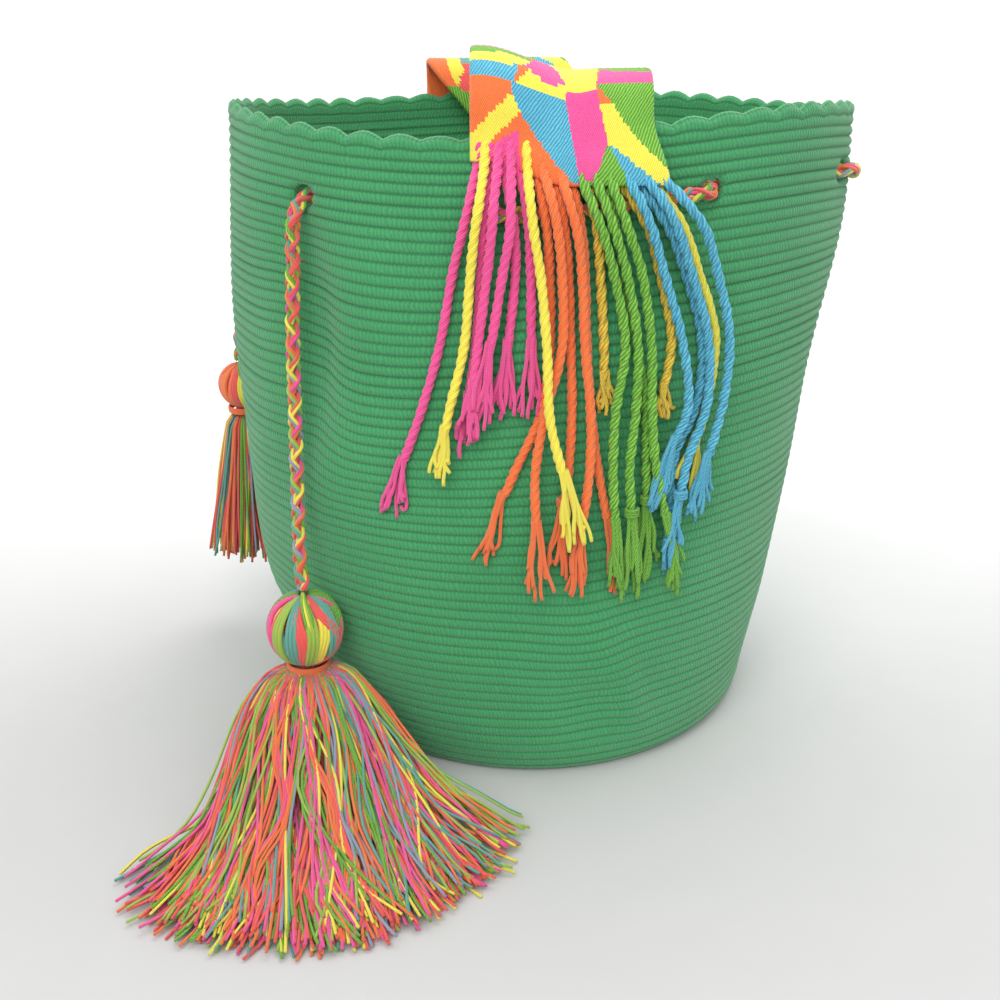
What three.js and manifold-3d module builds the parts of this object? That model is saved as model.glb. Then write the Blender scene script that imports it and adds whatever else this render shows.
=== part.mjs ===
// Wayuu mochila: a crocheted bucket bag with its strap tucked inside, a woven-in drawstring
// with two tassels, and the strap's plied fringe hanging outside both walls.
// Millimetres, +Z up, +X to the right, the front wall faces -Y, the base stands on z = 0.

import * as THREE from 'three';
import { mergeVertices } from 'three/addons/utils/BufferGeometryUtils.js';
import Module from 'manifold-3d';

// ---- bag body ----
const WALL_THICKNESS = 4;
const FLOOR_THICKNESS = 4.5;
const SCALLOPS = 52;
const SCALLOP_RISE = 3;
const STEPS_PER_SCALLOP = 3;

// Outer wall sections: height, centre x, centre y, half width, half depth.
const WALL_SECTIONS = [
  [0, 0, 0, 112, 112],
  [6, 0, 0, 117, 116],
  [20, -1, 0, 121, 118],
  [42, -3, 1, 127, 119],
  [65, -6, 2, 134.5, 119],
  [110, -6, 4, 141, 115],
  [175, -4, 7, 146.5, 107],
  [240, 1, 9, 151, 100],
  [300, 4, 11, 150, 95],
];

// The rim is not level: its height round the bag is a mean and three harmonics (cosine, sine).
const RIM_MEAN = 298;
const RIM_HARMONICS = [[1.1, -0.3], [1.6, -1.6], [-2.0, -2.3]];

// Soft upright valley beside the front drawstring tail.
const VALLEY = { angle: -129, spread: 9, depth: 6, middle: 195, reach: 75 };

// ---- drawstring and its eyelets ----
const DRAWSTRING_DIAMETER = 5.4;
const EYELET_DROP = 30;
const EYELET_HALF_LENGTH = 5.6;
const EYELET_HALF_HEIGHT = 5.4;
// Angles round the bag, in degrees, in the order that the drawstring passes through them.
const EYELET_ANGLES = [-135, -98.5, -61, -20, 12, 38, 62, 118, 140, 164];
const OUTSIDE_LIFT = 3.2;
const INSIDE_LIFT = -WALL_THICKNESS - 3.2;
const THREADING_RUN = 4;

// ---- strap ----
const STRAP_WIDTH = 76;
const STRAP_THICKNESS = 4;
const STRAP_NEAR_X = 10;
const STRAP_FAR_X = -18;
// Where along its length, as shares of it, the band moves over from the near x to the far x.
const STRAP_SHIFT = [0.915, 0.968];
// Middle of the strap from its front end to its far end: y, z.
const STRAP_ROUTE = [
  [-88.6, 284.8], [-87.4, 298], [-86, 312], [-80, 323], [-68, 327.5], [-55, 323], [-48, 310],
  [-48, 290], [-51, 240], [-64, 180], [-82, 120], [-95, 70], [-97, 40], [-88, 18], [-68, 8.2],
  [-30, 7.6], [30, 7.6], [68, 8.2], [89, 17], [101, 42], [106, 80], [105, 130], [100, 190],
  [94.5, 245], [93.5, 285], [94, 302], [98, 312], [104, 314.5], [109, 309], [109.8, 297],
  [109.6, 284.8],
];
const STRAP_STEPS = 64;

// ---- fringe ----
const FRINGE_DIAMETER = 4;
const FRINGE_LEVELS = [283, 270, 258, 240, 209, 180, 155, 130];
// Distance of a cord's middle from the wall at each level: they pass over the drawstring.
const LAYER_LIFT = {
  back: [2.4, 8.6, 8.6, 4.6, 2.6, 2.6, 2.6, 2.6],
  front: [6.6, 13.6, 13.2, 9.3, 7.1, 7.1, 7.1, 7.1],
  top: [6.6, 13.6, 13.2, 11.0, 11.5, 11.5, 11.5, 11.5],
};
// Front fringe: layer, height of the lower end, and x at each level passed on the way down.
const FRONT_FRINGE = {
  fringe_pink_1: ['back', 155, [-25, -28, -31, -35.5, -41.5, -50, -59]],
  fringe_yellow_1: ['front', 172, [-22, -24, -26, -28, -31, -38, -39.5]],
  fringe_pink_2: ['back', 186, [-19.5, -21, -22, -23.5, -26, -29]],
  fringe_pink_3: ['front', 193, [-16.5, -18, -19, -21, -25, -27]],
  fringe_pink_4: ['back', 208, [-14, -11.5, -9.5, -9, -12]],
  fringe_pink_5: ['front', 202, [-11, -11, -11.5, -14.5, -19.5]],
  fringe_pink_6: ['back', 203, [-8, -5, -3.5, -2.5, -2]],
  fringe_yellow_2: ['top', 155, [-4.2, -3, -1.5, 1.5, 4.5, 6, 12]],
  fringe_orange_1: ['back', 142, [-1, 2, 4, 5.5, 6, 2.5, -8.5, -14]],
  fringe_orange_2: ['front', 131, [2.2, 6, 8.5, 10.5, 11, 4, 0, 0.5]],
  fringe_orange_3: ['back', 138, [5.5, 9, 11.5, 13.5, 15, 16, 15, 13]],
  fringe_orange_4: ['front', 130, [9, 13, 16.5, 19, 21, 24, 24, 21]],
  fringe_orange_5: ['back', 128, [12.5, 16, 18.5, 20.5, 22, 24.5, 28, 33]],
  fringe_green_1: ['front', 130, [16, 22, 27, 32.5, 38.5, 35, 34.5, 36]],
  fringe_mustard_1: ['back', 195, [19, 22.5, 25, 27, 29.5, 30]],
  fringe_green_2: ['front', 133, [22, 27.5, 32.2, 38, 44, 44, 42, 43.5]],
  fringe_green_3: ['back', 136, [25, 29.5, 33, 37.5, 44, 49, 50, 51]],
  fringe_green_4: ['front', 130, [28, 33.5, 38, 44.5, 50, 51.5, 54, 59.5]],
  fringe_mustard_2: ['back', 188, [30.4, 39.5, 46.8, 52.5, 59.6, 57.2]],
  fringe_blue_1: ['front', 165, [34.4, 42.5, 48, 54, 64, 68, 63]],
  fringe_blue_2: ['back', 128, [37, 47, 55.5, 63.5, 73.5, 73, 63, 62]],
  fringe_blue_3: ['front', 138, [41, 52, 59, 66, 76, 77, 69, 66]],
  fringe_yellow_3: ['back', 163, [43.5, 53.5, 62, 69.5, 80, 78, 74]],
  fringe_blue_4: ['front', 150, [47.5, 61, 70.5, 77.5, 86, 85, 79]],
};
const FAR_FRINGE_PAIRS = 10;

// ---- tassels ----
// The first stands with its strands fanned out in front of it on the surface: lean is where they
// point, in degrees, fan is how far they open to each side, and strand is their horizontal reach.
// The second hangs free: drop is its strands' length, flare their spread at the ends, and sway
// how far the ends hang away from the wall.
const TASSELS = {
  tassel_1: {
    middle: [-107, -103, 74], radius: 17.8, neck: 9.2, lean: -77, fan: 40, strand: 136,
  },
  tassel_2: { middle: [-158.5, 38, 149], radius: 12.5, neck: 7.5, drop: 86, flare: 25.5, sway: 5 },
};
const TIE_THICKNESS = 1.6;
const TIE_HEIGHT = 3;
const TAIL_1 = [
  [-106, -67, 258], [-107.5, -67.5, 240], [-109, -73, 205], [-109.5, -78, 170],
  [-109.5, -86, 132], [-108.5, -97, 106], [-107, -103, 93.6],
];
const TAIL_2 = [
  [-150, 38.5, 262], [-152.5, 38.5, 248], [-153.5, 38, 225], [-154.5, 38, 200],
  [-157.5, 38, 176], [-158.5, 38, 163.3],
];

const COLOURS = {
  green_wool: 0x3f9160,
  pink: 0xf0559a,
  yellow: 0xf6ee5a,
  mustard: 0xd9bd3a,
  orange: 0xff7a3c,
  green: 0x7ab53c,
  blue: 0x5fb6d8,
  mixed: 0xe88a62,
};

const gap = 0.3;
const up = new THREE.Vector3(0, 0, 1);
const radians = THREE.MathUtils.degToRad;

function yarn(colour) {
  return new THREE.MeshStandardMaterial({ color: colour, roughness: 0.9, metalness: 0 });
}

// ---- the wall's shape, shared by everything that hangs on it ----

/** Smooth outer section at a height: centre x, centre y, half width, half depth. */
function sectionAt(height) {
  const last = WALL_SECTIONS.length - 1;
  const z = THREE.MathUtils.clamp(height, 0, WALL_SECTIONS[last][0]);
  let i = 0;
  while (i < last - 1 && z > WALL_SECTIONS[i + 1][0]) i += 1;
  const rows = [i - 1, i, i + 1, i + 2].map((k) => WALL_SECTIONS[THREE.MathUtils.clamp(k, 0, last)]);
  const [before, low, high, after] = rows;
  const span = high[0] - low[0];
  const t = (z - low[0]) / span;
  const slope = (a, b, k) => (b[0] === a[0] ? 0 : (b[k] - a[k]) / (b[0] - a[0]));
  return [1, 2, 3, 4].map((k) => {
    const startSlope = before === low ? slope(low, high, k) : slope(before, high, k);
    const endSlope = after === high ? slope(low, high, k) : slope(low, after, k);
    const t2 = t * t;
    const t3 = t2 * t;
    return (2 * t3 - 3 * t2 + 1) * low[k] + (t3 - 2 * t2 + t) * span * startSlope
      + (3 * t2 - 2 * t3) * high[k] + (t3 - t2) * span * endSlope;
  });
}

function rimHeight(angle) {
  return RIM_HARMONICS.reduce(
    (sum, [c, s], i) => sum + c * Math.cos((i + 1) * angle) + s * Math.sin((i + 1) * angle),
    RIM_MEAN,
  );
}

/** How far the valley pulls the wall inwards at an angle and height. */
function valleyDepth(angle, z) {
  let turn = angle - radians(VALLEY.angle);
  turn = Math.atan2(Math.sin(turn), Math.cos(turn));
  const across = Math.exp(-((turn / radians(VALLEY.spread)) ** 2));
  const along = Math.exp(-(((z - VALLEY.middle) / VALLEY.reach) ** 2));
  return VALLEY.depth * across * along;
}

/** A point at a distance outside (+) or inside (-) the outer wall. */
function wallPoint(angle, z, lift) {
  const [cx, cy, halfWidth, halfDepth] = sectionAt(z);
  const out = lift - valleyDepth(angle, z);
  const x = cx + (halfWidth + out) * Math.cos(angle);
  const y = cy + (halfDepth + out) * Math.sin(angle);
  return new THREE.Vector3(x, y, z);
}

/** The front (side = -1) or far (side = 1) wall's y above a given x and z. */
function wallY(x, z, lift, side) {
  const [cx, cy, halfWidth, halfDepth] = sectionAt(z);
  const across = (x - cx) / (halfWidth + lift);
  const angle = Math.atan2(side * Math.sqrt(1 - across * across), across);
  const out = lift - valleyDepth(angle, z);
  return cy + side * (halfDepth + out) * Math.sqrt(1 - across * across);
}

// ---- helpers for closed meshes ----

function moveVertices(geometry, place) {
  const position = geometry.attributes.position;
  for (let i = 0; i < position.count; i += 1) {
    const p = place(new THREE.Vector3().fromBufferAttribute(position, i));
    position.setXYZ(i, p.x, p.y, p.z);
  }
  return geometry;
}

function bareMesh(geometry) {
  const bare = geometry.clone();
  bare.deleteAttribute('normal');
  bare.deleteAttribute('uv');
  return mergeVertices(bare, 1e-3);
}

const wasm = await Module();
wasm.setup();

function toSolid(geometry) {
  const merged = bareMesh(geometry);
  return new wasm.Manifold(new wasm.Mesh({
    numProp: 3,
    vertProperties: new Float32Array(merged.attributes.position.array),
    triVerts: new Uint32Array(merged.index.array),
  }));
}

function fromSolid(solid) {
  const mesh = solid.getMesh();
  const geometry = new THREE.BufferGeometry();
  geometry.setAttribute('position', new THREE.BufferAttribute(mesh.vertProperties, 3));
  geometry.setIndex(new THREE.BufferAttribute(mesh.triVerts, 1));
  geometry.computeVertexNormals();
  return geometry;
}

/** A path that steps from one given point to the next. */
class PointPath extends THREE.Curve {
  constructor(points) {
    super();
    this.points = points;
  }

  getPoint(t, target = new THREE.Vector3()) {
    const place = THREE.MathUtils.clamp(t, 0, 1) * (this.points.length - 1);
    const i = Math.min(Math.floor(place), this.points.length - 2);
    return target.lerpVectors(this.points[i], this.points[i + 1], place - i);
  }

  getPointAt(u, target) {
    return this.getPoint(u, target);
  }

  getTangentAt(u, target) {
    return this.getTangent(u, target);
  }

  getTangent(t, target = new THREE.Vector3()) {
    const half = 0.5 / (this.points.length - 1);
    const before = this.getPoint(t - half);
    return target.copy(this.getPoint(t + half)).sub(before).normalize();
  }
}

function cordGeometry(path, steps, diameter) {
  const section = new THREE.Shape();
  const sides = 8;
  for (let i = 0; i < sides; i += 1) {
    const turn = (2 * Math.PI * i) / sides;
    const x = 0.5 * diameter * Math.cos(turn);
    const y = 0.5 * diameter * Math.sin(turn);
    if (i === 0) section.moveTo(x, y);
    else section.lineTo(x, y);
  }
  section.closePath();
  return new THREE.ExtrudeGeometry(section, { steps, extrudePath: path, curveSegments: 1 });
}

// ---- bag body: base, wall, scalloped rim and eyelets, crocheted in one piece ----

const NOMINAL_RADIUS = 120;
const BASE_EDGE = NOMINAL_RADIUS - 10;

function bagShell() {
  const outside = [0, 6, 20, 45, 75, 120, 175, 235, 270];
  const inside = [265, 210, 155, 105, 60, 20];
  const profile = [new THREE.Vector2(0, 0)];
  outside.forEach((z) => profile.push(new THREE.Vector2(NOMINAL_RADIUS, z)));
  profile.push(new THREE.Vector2(NOMINAL_RADIUS, RIM_MEAN));
  profile.push(new THREE.Vector2(NOMINAL_RADIUS - WALL_THICKNESS, RIM_MEAN));
  inside.forEach((z) => profile.push(new THREE.Vector2(NOMINAL_RADIUS - WALL_THICKNESS, z)));
  profile.push(new THREE.Vector2(NOMINAL_RADIUS - 2 * WALL_THICKNESS, FLOOR_THICKNESS));
  profile.push(new THREE.Vector2(0, FLOOR_THICKNESS));
  const lathe = new THREE.LatheGeometry(profile, SCALLOPS * STEPS_PER_SCALLOP);
  lathe.rotateX(Math.PI / 2);
  return moveVertices(lathe, (p) => {
    const radius = Math.hypot(p.x, p.y);
    const angle = Math.atan2(p.y, p.x);
    if (radius < BASE_EDGE) return p;
    let z = p.z;
    if (z > RIM_MEAN - 1) {
      const scallop = Math.abs(Math.sin((angle * SCALLOPS) / 2));
      z = rimHeight(angle) + SCALLOP_RISE * (scallop - 0.7);
    }
    return wallPoint(angle, z, radius - NOMINAL_RADIUS);
  });
}

function eyeletHeight(angle) {
  return rimHeight(angle) - EYELET_DROP;
}

function eyeletCutter(angle) {
  const z = eyeletHeight(angle);
  const middle = wallPoint(angle, z, -WALL_THICKNESS / 2);
  const outwards = wallPoint(angle, z, 10).sub(wallPoint(angle, z, -10)).setZ(0).normalize();
  const cutter = new THREE.CylinderGeometry(1, 1, 5 * WALL_THICKNESS, 12);
  cutter.scale(EYELET_HALF_LENGTH, 1, EYELET_HALF_HEIGHT);
  const along = new THREE.Vector3().crossVectors(outwards, up);
  cutter.applyMatrix4(new THREE.Matrix4().makeBasis(along, outwards, up));
  cutter.translate(middle.x, middle.y, middle.z);
  return toSolid(cutter);
}

function bagBody() {
  let solid = toSolid(bagShell());
  EYELET_ANGLES.forEach((angle) => {
    solid = solid.subtract(eyeletCutter(radians(angle)));
  });
  return fromSolid(solid);
}

// ---- strap: one woven band, over the front wall, through the bag and over the far wall ----

function strapBand() {
  const middle = new THREE.CatmullRomCurve3(
    STRAP_ROUTE.map(([y, z]) => new THREE.Vector3(0, y, z)),
    false,
    'centripetal',
  );
  const band = new THREE.BoxGeometry(STRAP_WIDTH, 1, STRAP_THICKNESS, 4, STRAP_STEPS, 1);
  return moveVertices(band, (p) => {
    const along = p.y + 0.5;
    const centre = middle.getPointAt(along);
    const direction = middle.getTangentAt(along);
    const across = new THREE.Vector3(0, -direction.z, direction.y);
    const crossing = THREE.MathUtils.smoothstep(along, ...STRAP_SHIFT);
    const x = p.x + THREE.MathUtils.lerp(STRAP_NEAR_X, STRAP_FAR_X, crossing);
    const side = centre.y < 0 ? -1 : 1;
    const height = Math.min(centre.z, RIM_MEAN);
    const bow = wallY(x, height, 0, side) - wallY(x - p.x, height, 0, side);
    const againstWall = THREE.MathUtils.smoothstep(Math.abs(centre.y), 45, 80);
    const y = centre.y + p.z * across.y + againstWall * bow;
    return new THREE.Vector3(x, y, centre.z + p.z * across.z);
  });
}

// ---- fringe ----

function fringeCord([layer, endHeight, xs]) {
  const points = xs.map((x, i) => {
    const z = Math.max(FRINGE_LEVELS[i], endHeight);
    const lift = LAYER_LIFT[layer][i];
    return new THREE.Vector3(x, wallY(x, z, lift, -1), z);
  });
  const route = new THREE.CatmullRomCurve3(points, false, 'centripetal');
  const steps = Math.round(route.getLength() / (3 * FRINGE_DIAMETER));
  return cordGeometry(route, steps, FRINGE_DIAMETER);
}

/** Fringe on the far wall: pairs of cords, one against the wall and one lying over it. */
function farFringeCord(pair, layer) {
  const spacing = STRAP_WIDTH / FAR_FRINGE_PAIRS;
  const shift = layer === 'back' ? 0.28 : 0.72;
  const offset = (pair + shift) * spacing - STRAP_WIDTH / 2;
  const endHeight = 158 + 22 * Math.sin(2.1 * pair + (layer === 'back' ? 0 : 1.3));
  const lifts = layer === 'back' ? [2.4, 2.6, 2.6, 2.6] : [6.1, 7.1, 7.1, 7.1];
  const heights = [283, 262, 215, endHeight];
  const points = heights.map((z, i) => {
    const x = STRAP_FAR_X + offset * (1 + 0.04 * i);
    return new THREE.Vector3(x, wallY(x, z, lifts[i], 1), z);
  });
  const route = new THREE.CatmullRomCurve3(points, false, 'centripetal');
  return cordGeometry(route, 5, FRINGE_DIAMETER);
}

// ---- drawstring: in and out through the eyelets, a free tail at each end ----

function drawstringPoints() {
  const points = TAIL_1.map((p) => new THREE.Vector3(...p)).reverse();
  const last = EYELET_ANGLES.length - 1;
  EYELET_ANGLES.forEach((degrees, i) => {
    const angle = radians(degrees);
    const z = eyeletHeight(angle);
    const [, , halfWidth, halfDepth] = sectionAt(z);
    const arcPerRadian = Math.hypot(halfWidth * Math.sin(angle), halfDepth * Math.cos(angle));
    const reach = THREADING_RUN / arcPerRadian;
    const goesIn = i % 2 === 0;
    if (i > 0) {
      points.push(wallPoint(angle - reach, z, goesIn ? OUTSIDE_LIFT : INSIDE_LIFT));
    }
    points.push(wallPoint(angle, z, -WALL_THICKNESS / 2));
    if (i < last) {
      const lift = goesIn ? INSIDE_LIFT : OUTSIDE_LIFT;
      points.push(wallPoint(angle + reach, z, lift));
      const next = radians(EYELET_ANGLES[i + 1]);
      const pieces = Math.max(3, Math.round((EYELET_ANGLES[i + 1] - degrees) / 7));
      for (let k = 1; k < pieces; k += 1) {
        const between = THREE.MathUtils.lerp(angle, next, k / pieces);
        points.push(wallPoint(between, eyeletHeight(between), lift));
      }
    }
  });
  TAIL_2.forEach((p) => points.push(new THREE.Vector3(...p)));
  return points;
}

function drawstring() {
  const points = drawstringPoints();
  return cordGeometry(new PointPath(points), points.length - 1, DRAWSTRING_DIAMETER);
}

// ---- tassels: a bundle of yarns folded over the cord's end and tied at the neck ----

/** Strands fanned out from the neck down onto the surface that the bag stands on. */
function fannedSkirt({ lean, fan, strand }, neckHeight) {
  const skirt = new THREE.BoxGeometry(2, 1, 1, 10, 6, 1);
  return moveVertices(skirt, (p) => {
    const along = p.y + 0.5;
    const turn = radians(lean - fan * p.x);
    const aside = radians(lean - 90);
    const reach = strand * along;
    const top = neckHeight * Math.exp(-2.3 * along ** 1.35);
    const bottom = Math.max(0, top - 12 - 20 * along);
    const spread = 5 * (1 - along) * p.x;
    const x = reach * Math.cos(turn) + spread * Math.cos(aside);
    const y = reach * Math.sin(turn) + spread * Math.sin(aside);
    return new THREE.Vector3(x, y, p.z > 0 ? top : bottom);
  });
}

/** Strands that hang straight down from the neck, opening towards their ends. */
function hangingSkirt({ neck, drop, flare, sway }, neckHeight) {
  const shoulder = 6;
  const profile = [
    [0, 0], [neck + 1, 0], [neck + 5, -shoulder], [flare, -drop], [0, -drop],
  ];
  const skirt = new THREE.LatheGeometry(profile.map((p) => new THREE.Vector2(...p)).reverse(), 20);
  skirt.rotateX(Math.PI / 2);
  return moveVertices(skirt, (p) => (
    new THREE.Vector3(p.x + (sway * p.z) / drop, p.y, p.z + neckHeight)
  ));
}

function tassel(shape) {
  const [x, y, z] = shape.middle;
  const neckHeight = z - shape.radius - TIE_HEIGHT / 2;
  const head = new THREE.SphereGeometry(shape.radius, 16, 12);
  head.rotateX(Math.PI / 2);
  head.translate(x, y, z);
  const neck = new THREE.CylinderGeometry(shape.neck, shape.neck, 4 * TIE_HEIGHT, 12);
  neck.rotateX(Math.PI / 2);
  neck.translate(x, y, neckHeight);
  const makeSkirt = shape.drop ? hangingSkirt : fannedSkirt;
  const skirt = makeSkirt(shape, neckHeight - TIE_HEIGHT);
  skirt.translate(x, y, 0);
  return fromSolid(toSolid(head).add(toSolid(neck)).add(toSolid(skirt)));
}

function tasselTie({ middle, radius, neck }) {
  const inner = neck + gap;
  const outer = inner + TIE_THICKNESS;
  const half = TIE_HEIGHT / 2;
  const profile = [[inner, -half], [outer, -half], [outer, half], [inner, half], [inner, -half]];
  const tie = new THREE.LatheGeometry(profile.map((p) => new THREE.Vector2(...p)), 14);
  tie.rotateX(Math.PI / 2);
  tie.translate(middle[0], middle[1], middle[2] - radius - half);
  return tie;
}

// ---- the whole bag ----

const bag = new THREE.Group();

function addPart(name, geometry, colour) {
  const mesh = new THREE.Mesh(geometry, yarn(colour));
  mesh.name = name;
  bag.add(mesh);
}

addPart('bag_body', bagBody(), COLOURS.green_wool);
addPart('strap_band', strapBand(), COLOURS.orange);
addPart('drawstring', drawstring(), COLOURS.mixed);
Object.entries(TASSELS).forEach(([name, shape]) => {
  addPart(name, tassel(shape), COLOURS.mixed);
  addPart(`${name}_tie`, tasselTie(shape), COLOURS.orange);
});
Object.entries(FRONT_FRINGE).forEach(([name, route]) => {
  addPart(name, fringeCord(route), COLOURS[name.split('_')[1]]);
});
const farColours = ['pink', 'yellow', 'orange', 'green', 'blue'];
for (let pair = 0; pair < FAR_FRINGE_PAIRS; pair += 1) {
  const colour = COLOURS[farColours[Math.floor(pair / 2)]];
  addPart(`far_fringe_back_${pair + 1}`, farFringeCord(pair, 'back'), colour);
  addPart(`far_fringe_front_${pair + 1}`, farFringeCord(pair, 'front'), colour);
}

export default bag;
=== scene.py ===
"""A Wayuu mochila: a crocheted bucket bag with a woven, fringed strap tucked inside it and a
drawstring that ends in two tassels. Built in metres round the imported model."""
import math
import bpy
import numpy as np
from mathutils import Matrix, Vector


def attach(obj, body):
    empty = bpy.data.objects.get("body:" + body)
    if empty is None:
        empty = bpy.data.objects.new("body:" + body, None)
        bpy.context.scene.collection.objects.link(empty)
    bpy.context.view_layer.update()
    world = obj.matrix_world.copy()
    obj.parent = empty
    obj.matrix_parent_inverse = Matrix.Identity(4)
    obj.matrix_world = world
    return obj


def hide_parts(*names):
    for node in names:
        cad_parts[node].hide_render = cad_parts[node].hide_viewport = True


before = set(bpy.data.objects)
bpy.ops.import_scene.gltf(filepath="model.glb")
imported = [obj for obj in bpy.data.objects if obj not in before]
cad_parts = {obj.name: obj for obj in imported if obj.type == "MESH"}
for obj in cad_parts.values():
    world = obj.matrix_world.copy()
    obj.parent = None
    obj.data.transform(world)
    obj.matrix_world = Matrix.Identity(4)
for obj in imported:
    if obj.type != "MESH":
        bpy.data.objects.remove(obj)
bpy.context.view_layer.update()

MM = 0.001
ROOT = "root"
rng = np.random.default_rng(7)

# ---------------------------------------------------------------- driving sizes, millimetres
WALL_THICKNESS = 4.0
FLOOR_THICKNESS = 4.5
ROWS = 64                     # crochet rows from the base to the rim, about 4.7 mm each
STITCHES = 460                # half stitches in one row, about 1.8 mm each
SCALLOPS = 52
SCALLOP_RISE = 3.0

WALL_SECTIONS = np.array([    # height, centre x, centre y, half width, half depth
    [0, 0, 0, 112, 112],
    [6, 0, 0, 117, 116],
    [20, -1, 0, 121, 118],
    [42, -3, 1, 127, 119],
    [65, -6, 2, 134.5, 119],
    [110, -6, 4, 141, 115],
    [175, -4, 7, 146.5, 107],
    [240, 1, 9, 151, 100],
    [300, 4, 11, 150, 95],
], dtype=float)
BASE_RADIUS = WALL_SECTIONS[0, 3]
RIM_MEAN = 298.0
RIM_HARMONICS = [(1.1, -0.3), (1.6, -1.6), (-2.0, -2.3)]
VALLEY = {"angle": -129, "spread": 9, "depth": 6, "middle": 195, "reach": 75}

DRAWSTRING_DIAMETER = 5.4
EYELET_DROP = 30.0
EYELET_ANGLES = [-135, -98.5, -61, -20, 12, 38, 62, 118, 140, 164]
EYELET_HALF_LENGTH = 5.6
EYELET_HALF_HEIGHT = 5.4
OUTSIDE_LIFT = 3.2
INSIDE_LIFT = -WALL_THICKNESS - 3.2
THREADING_RUN = 4.0

STRAP_WIDTH = 76.0
STRAP_THICKNESS = 3.4
STRAP_NEAR_X = 10.0
STRAP_FAR_X = -18.0
STRAP_SHIFT = (0.915, 0.968)  # shares of the length between which the band moves over
STRAP_ROUTE = [               # middle of the strap from its front end to its far end: y, z
    (-88.6, 284.8), (-87.4, 298), (-86, 312), (-80, 323), (-68, 327.5), (-55, 323), (-48, 310),
    (-48, 290), (-51, 240), (-64, 180), (-82, 120), (-95, 70), (-97, 40), (-88, 18), (-68, 8.2),
    (-30, 7.6), (30, 7.6), (68, 8.2), (89, 17), (101, 42), (106, 80), (105, 130), (100, 190),
    (94.5, 245), (93.5, 285), (94, 302), (98, 312), (104, 314.5), (109, 309), (109.8, 297),
    (109.6, 284.8),
]

FRINGE_DIAMETER = 4.0
FRINGE_LEVELS = [283, 270, 258, 240, 209, 180, 155, 130]
LAYER_LIFT = {
    "back": [2.4, 8.6, 8.6, 4.6, 2.6, 2.6, 2.6, 2.6],
    "front": [6.6, 13.6, 13.2, 9.3, 7.1, 7.1, 7.1, 7.1],
    "top": [6.6, 13.6, 13.2, 11.0, 11.5, 11.5, 11.5, 11.5],
}
FRONT_FRINGE = {              # layer, height of the lower end, x at each level on the way down
    "fringe_pink_1": ("back", 155, [-25, -28, -31, -35.5, -41.5, -50, -59]),
    "fringe_yellow_1": ("front", 172, [-22, -24, -26, -28, -31, -38, -39.5]),
    "fringe_pink_2": ("back", 186, [-19.5, -21, -22, -23.5, -26, -29]),
    "fringe_pink_3": ("front", 193, [-16.5, -18, -19, -21, -25, -27]),
    "fringe_pink_4": ("back", 208, [-14, -11.5, -9.5, -9, -12]),
    "fringe_pink_5": ("front", 202, [-11, -11, -11.5, -14.5, -19.5]),
    "fringe_pink_6": ("back", 203, [-8, -5, -3.5, -2.5, -2]),
    "fringe_yellow_2": ("top", 155, [-4.2, -3, -1.5, 1.5, 4.5, 6, 12]),
    "fringe_orange_1": ("back", 142, [-1, 2, 4, 5.5, 6, 2.5, -8.5, -14]),
    "fringe_orange_2": ("front", 131, [2.2, 6, 8.5, 10.5, 11, 4, 0, 0.5]),
    "fringe_orange_3": ("back", 138, [5.5, 9, 11.5, 13.5, 15, 16, 15, 13]),
    "fringe_orange_4": ("front", 130, [9, 13, 16.5, 19, 21, 24, 24, 21]),
    "fringe_orange_5": ("back", 128, [12.5, 16, 18.5, 20.5, 22, 24.5, 28, 33]),
    "fringe_green_1": ("front", 130, [16, 22, 27, 32.5, 38.5, 35, 34.5, 36]),
    "fringe_mustard_1": ("back", 195, [19, 22.5, 25, 27, 29.5, 30]),
    "fringe_green_2": ("front", 133, [22, 27.5, 32.2, 38, 44, 44, 42, 43.5]),
    "fringe_green_3": ("back", 136, [25, 29.5, 33, 37.5, 44, 49, 50, 51]),
    "fringe_green_4": ("front", 130, [28, 33.5, 38, 44.5, 50, 51.5, 54, 59.5]),
    "fringe_mustard_2": ("back", 188, [30.4, 39.5, 46.8, 52.5, 59.6, 57.2]),
    "fringe_blue_1": ("front", 165, [34.4, 42.5, 48, 54, 64, 68, 63]),
    "fringe_blue_2": ("back", 128, [37, 47, 55.5, 63.5, 73.5, 73, 63, 62]),
    "fringe_blue_3": ("front", 138, [41, 52, 59, 66, 76, 77, 69, 66]),
    "fringe_yellow_3": ("back", 163, [43.5, 53.5, 62, 69.5, 80, 78, 74]),
    "fringe_blue_4": ("front", 150, [47.5, 61, 70.5, 77.5, 86, 85, 79]),
}
FAR_FRINGE_PAIRS = 10

TASSELS = {
    "tassel_1": {"middle": (-107, -103, 74), "radius": 17.8, "neck": 9.2},
    "tassel_2": {"middle": (-158.5, 38, 149), "radius": 12.5, "neck": 7.5},
}
TAIL_1 = [
    (-106, -67, 258), (-107.5, -67.5, 240), (-109, -73, 205), (-109.5, -78, 170),
    (-109.5, -86, 132), (-108.5, -97, 106), (-107, -103, 93.6),
]
TAIL_2 = [
    (-150, 38.5, 262), (-152.5, 38.5, 248), (-153.5, 38, 225), (-154.5, 38, 200),
    (-157.5, 38, 176), (-158.5, 38, 163.3),
]

# ---------------------------------------------------------------- camera and light


def make_camera():
    lens = bpy.data.cameras.new("camera")
    lens.lens = 43.2
    lens.sensor_width = 36
    piece = bpy.data.objects.new("camera", lens)
    piece.location = (-0.0155, -0.60, 0.35)
    piece.rotation_euler = (math.radians(90 - 23), 0, 0)
    bpy.context.collection.objects.link(piece)
    bpy.context.scene.camera = piece


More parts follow.
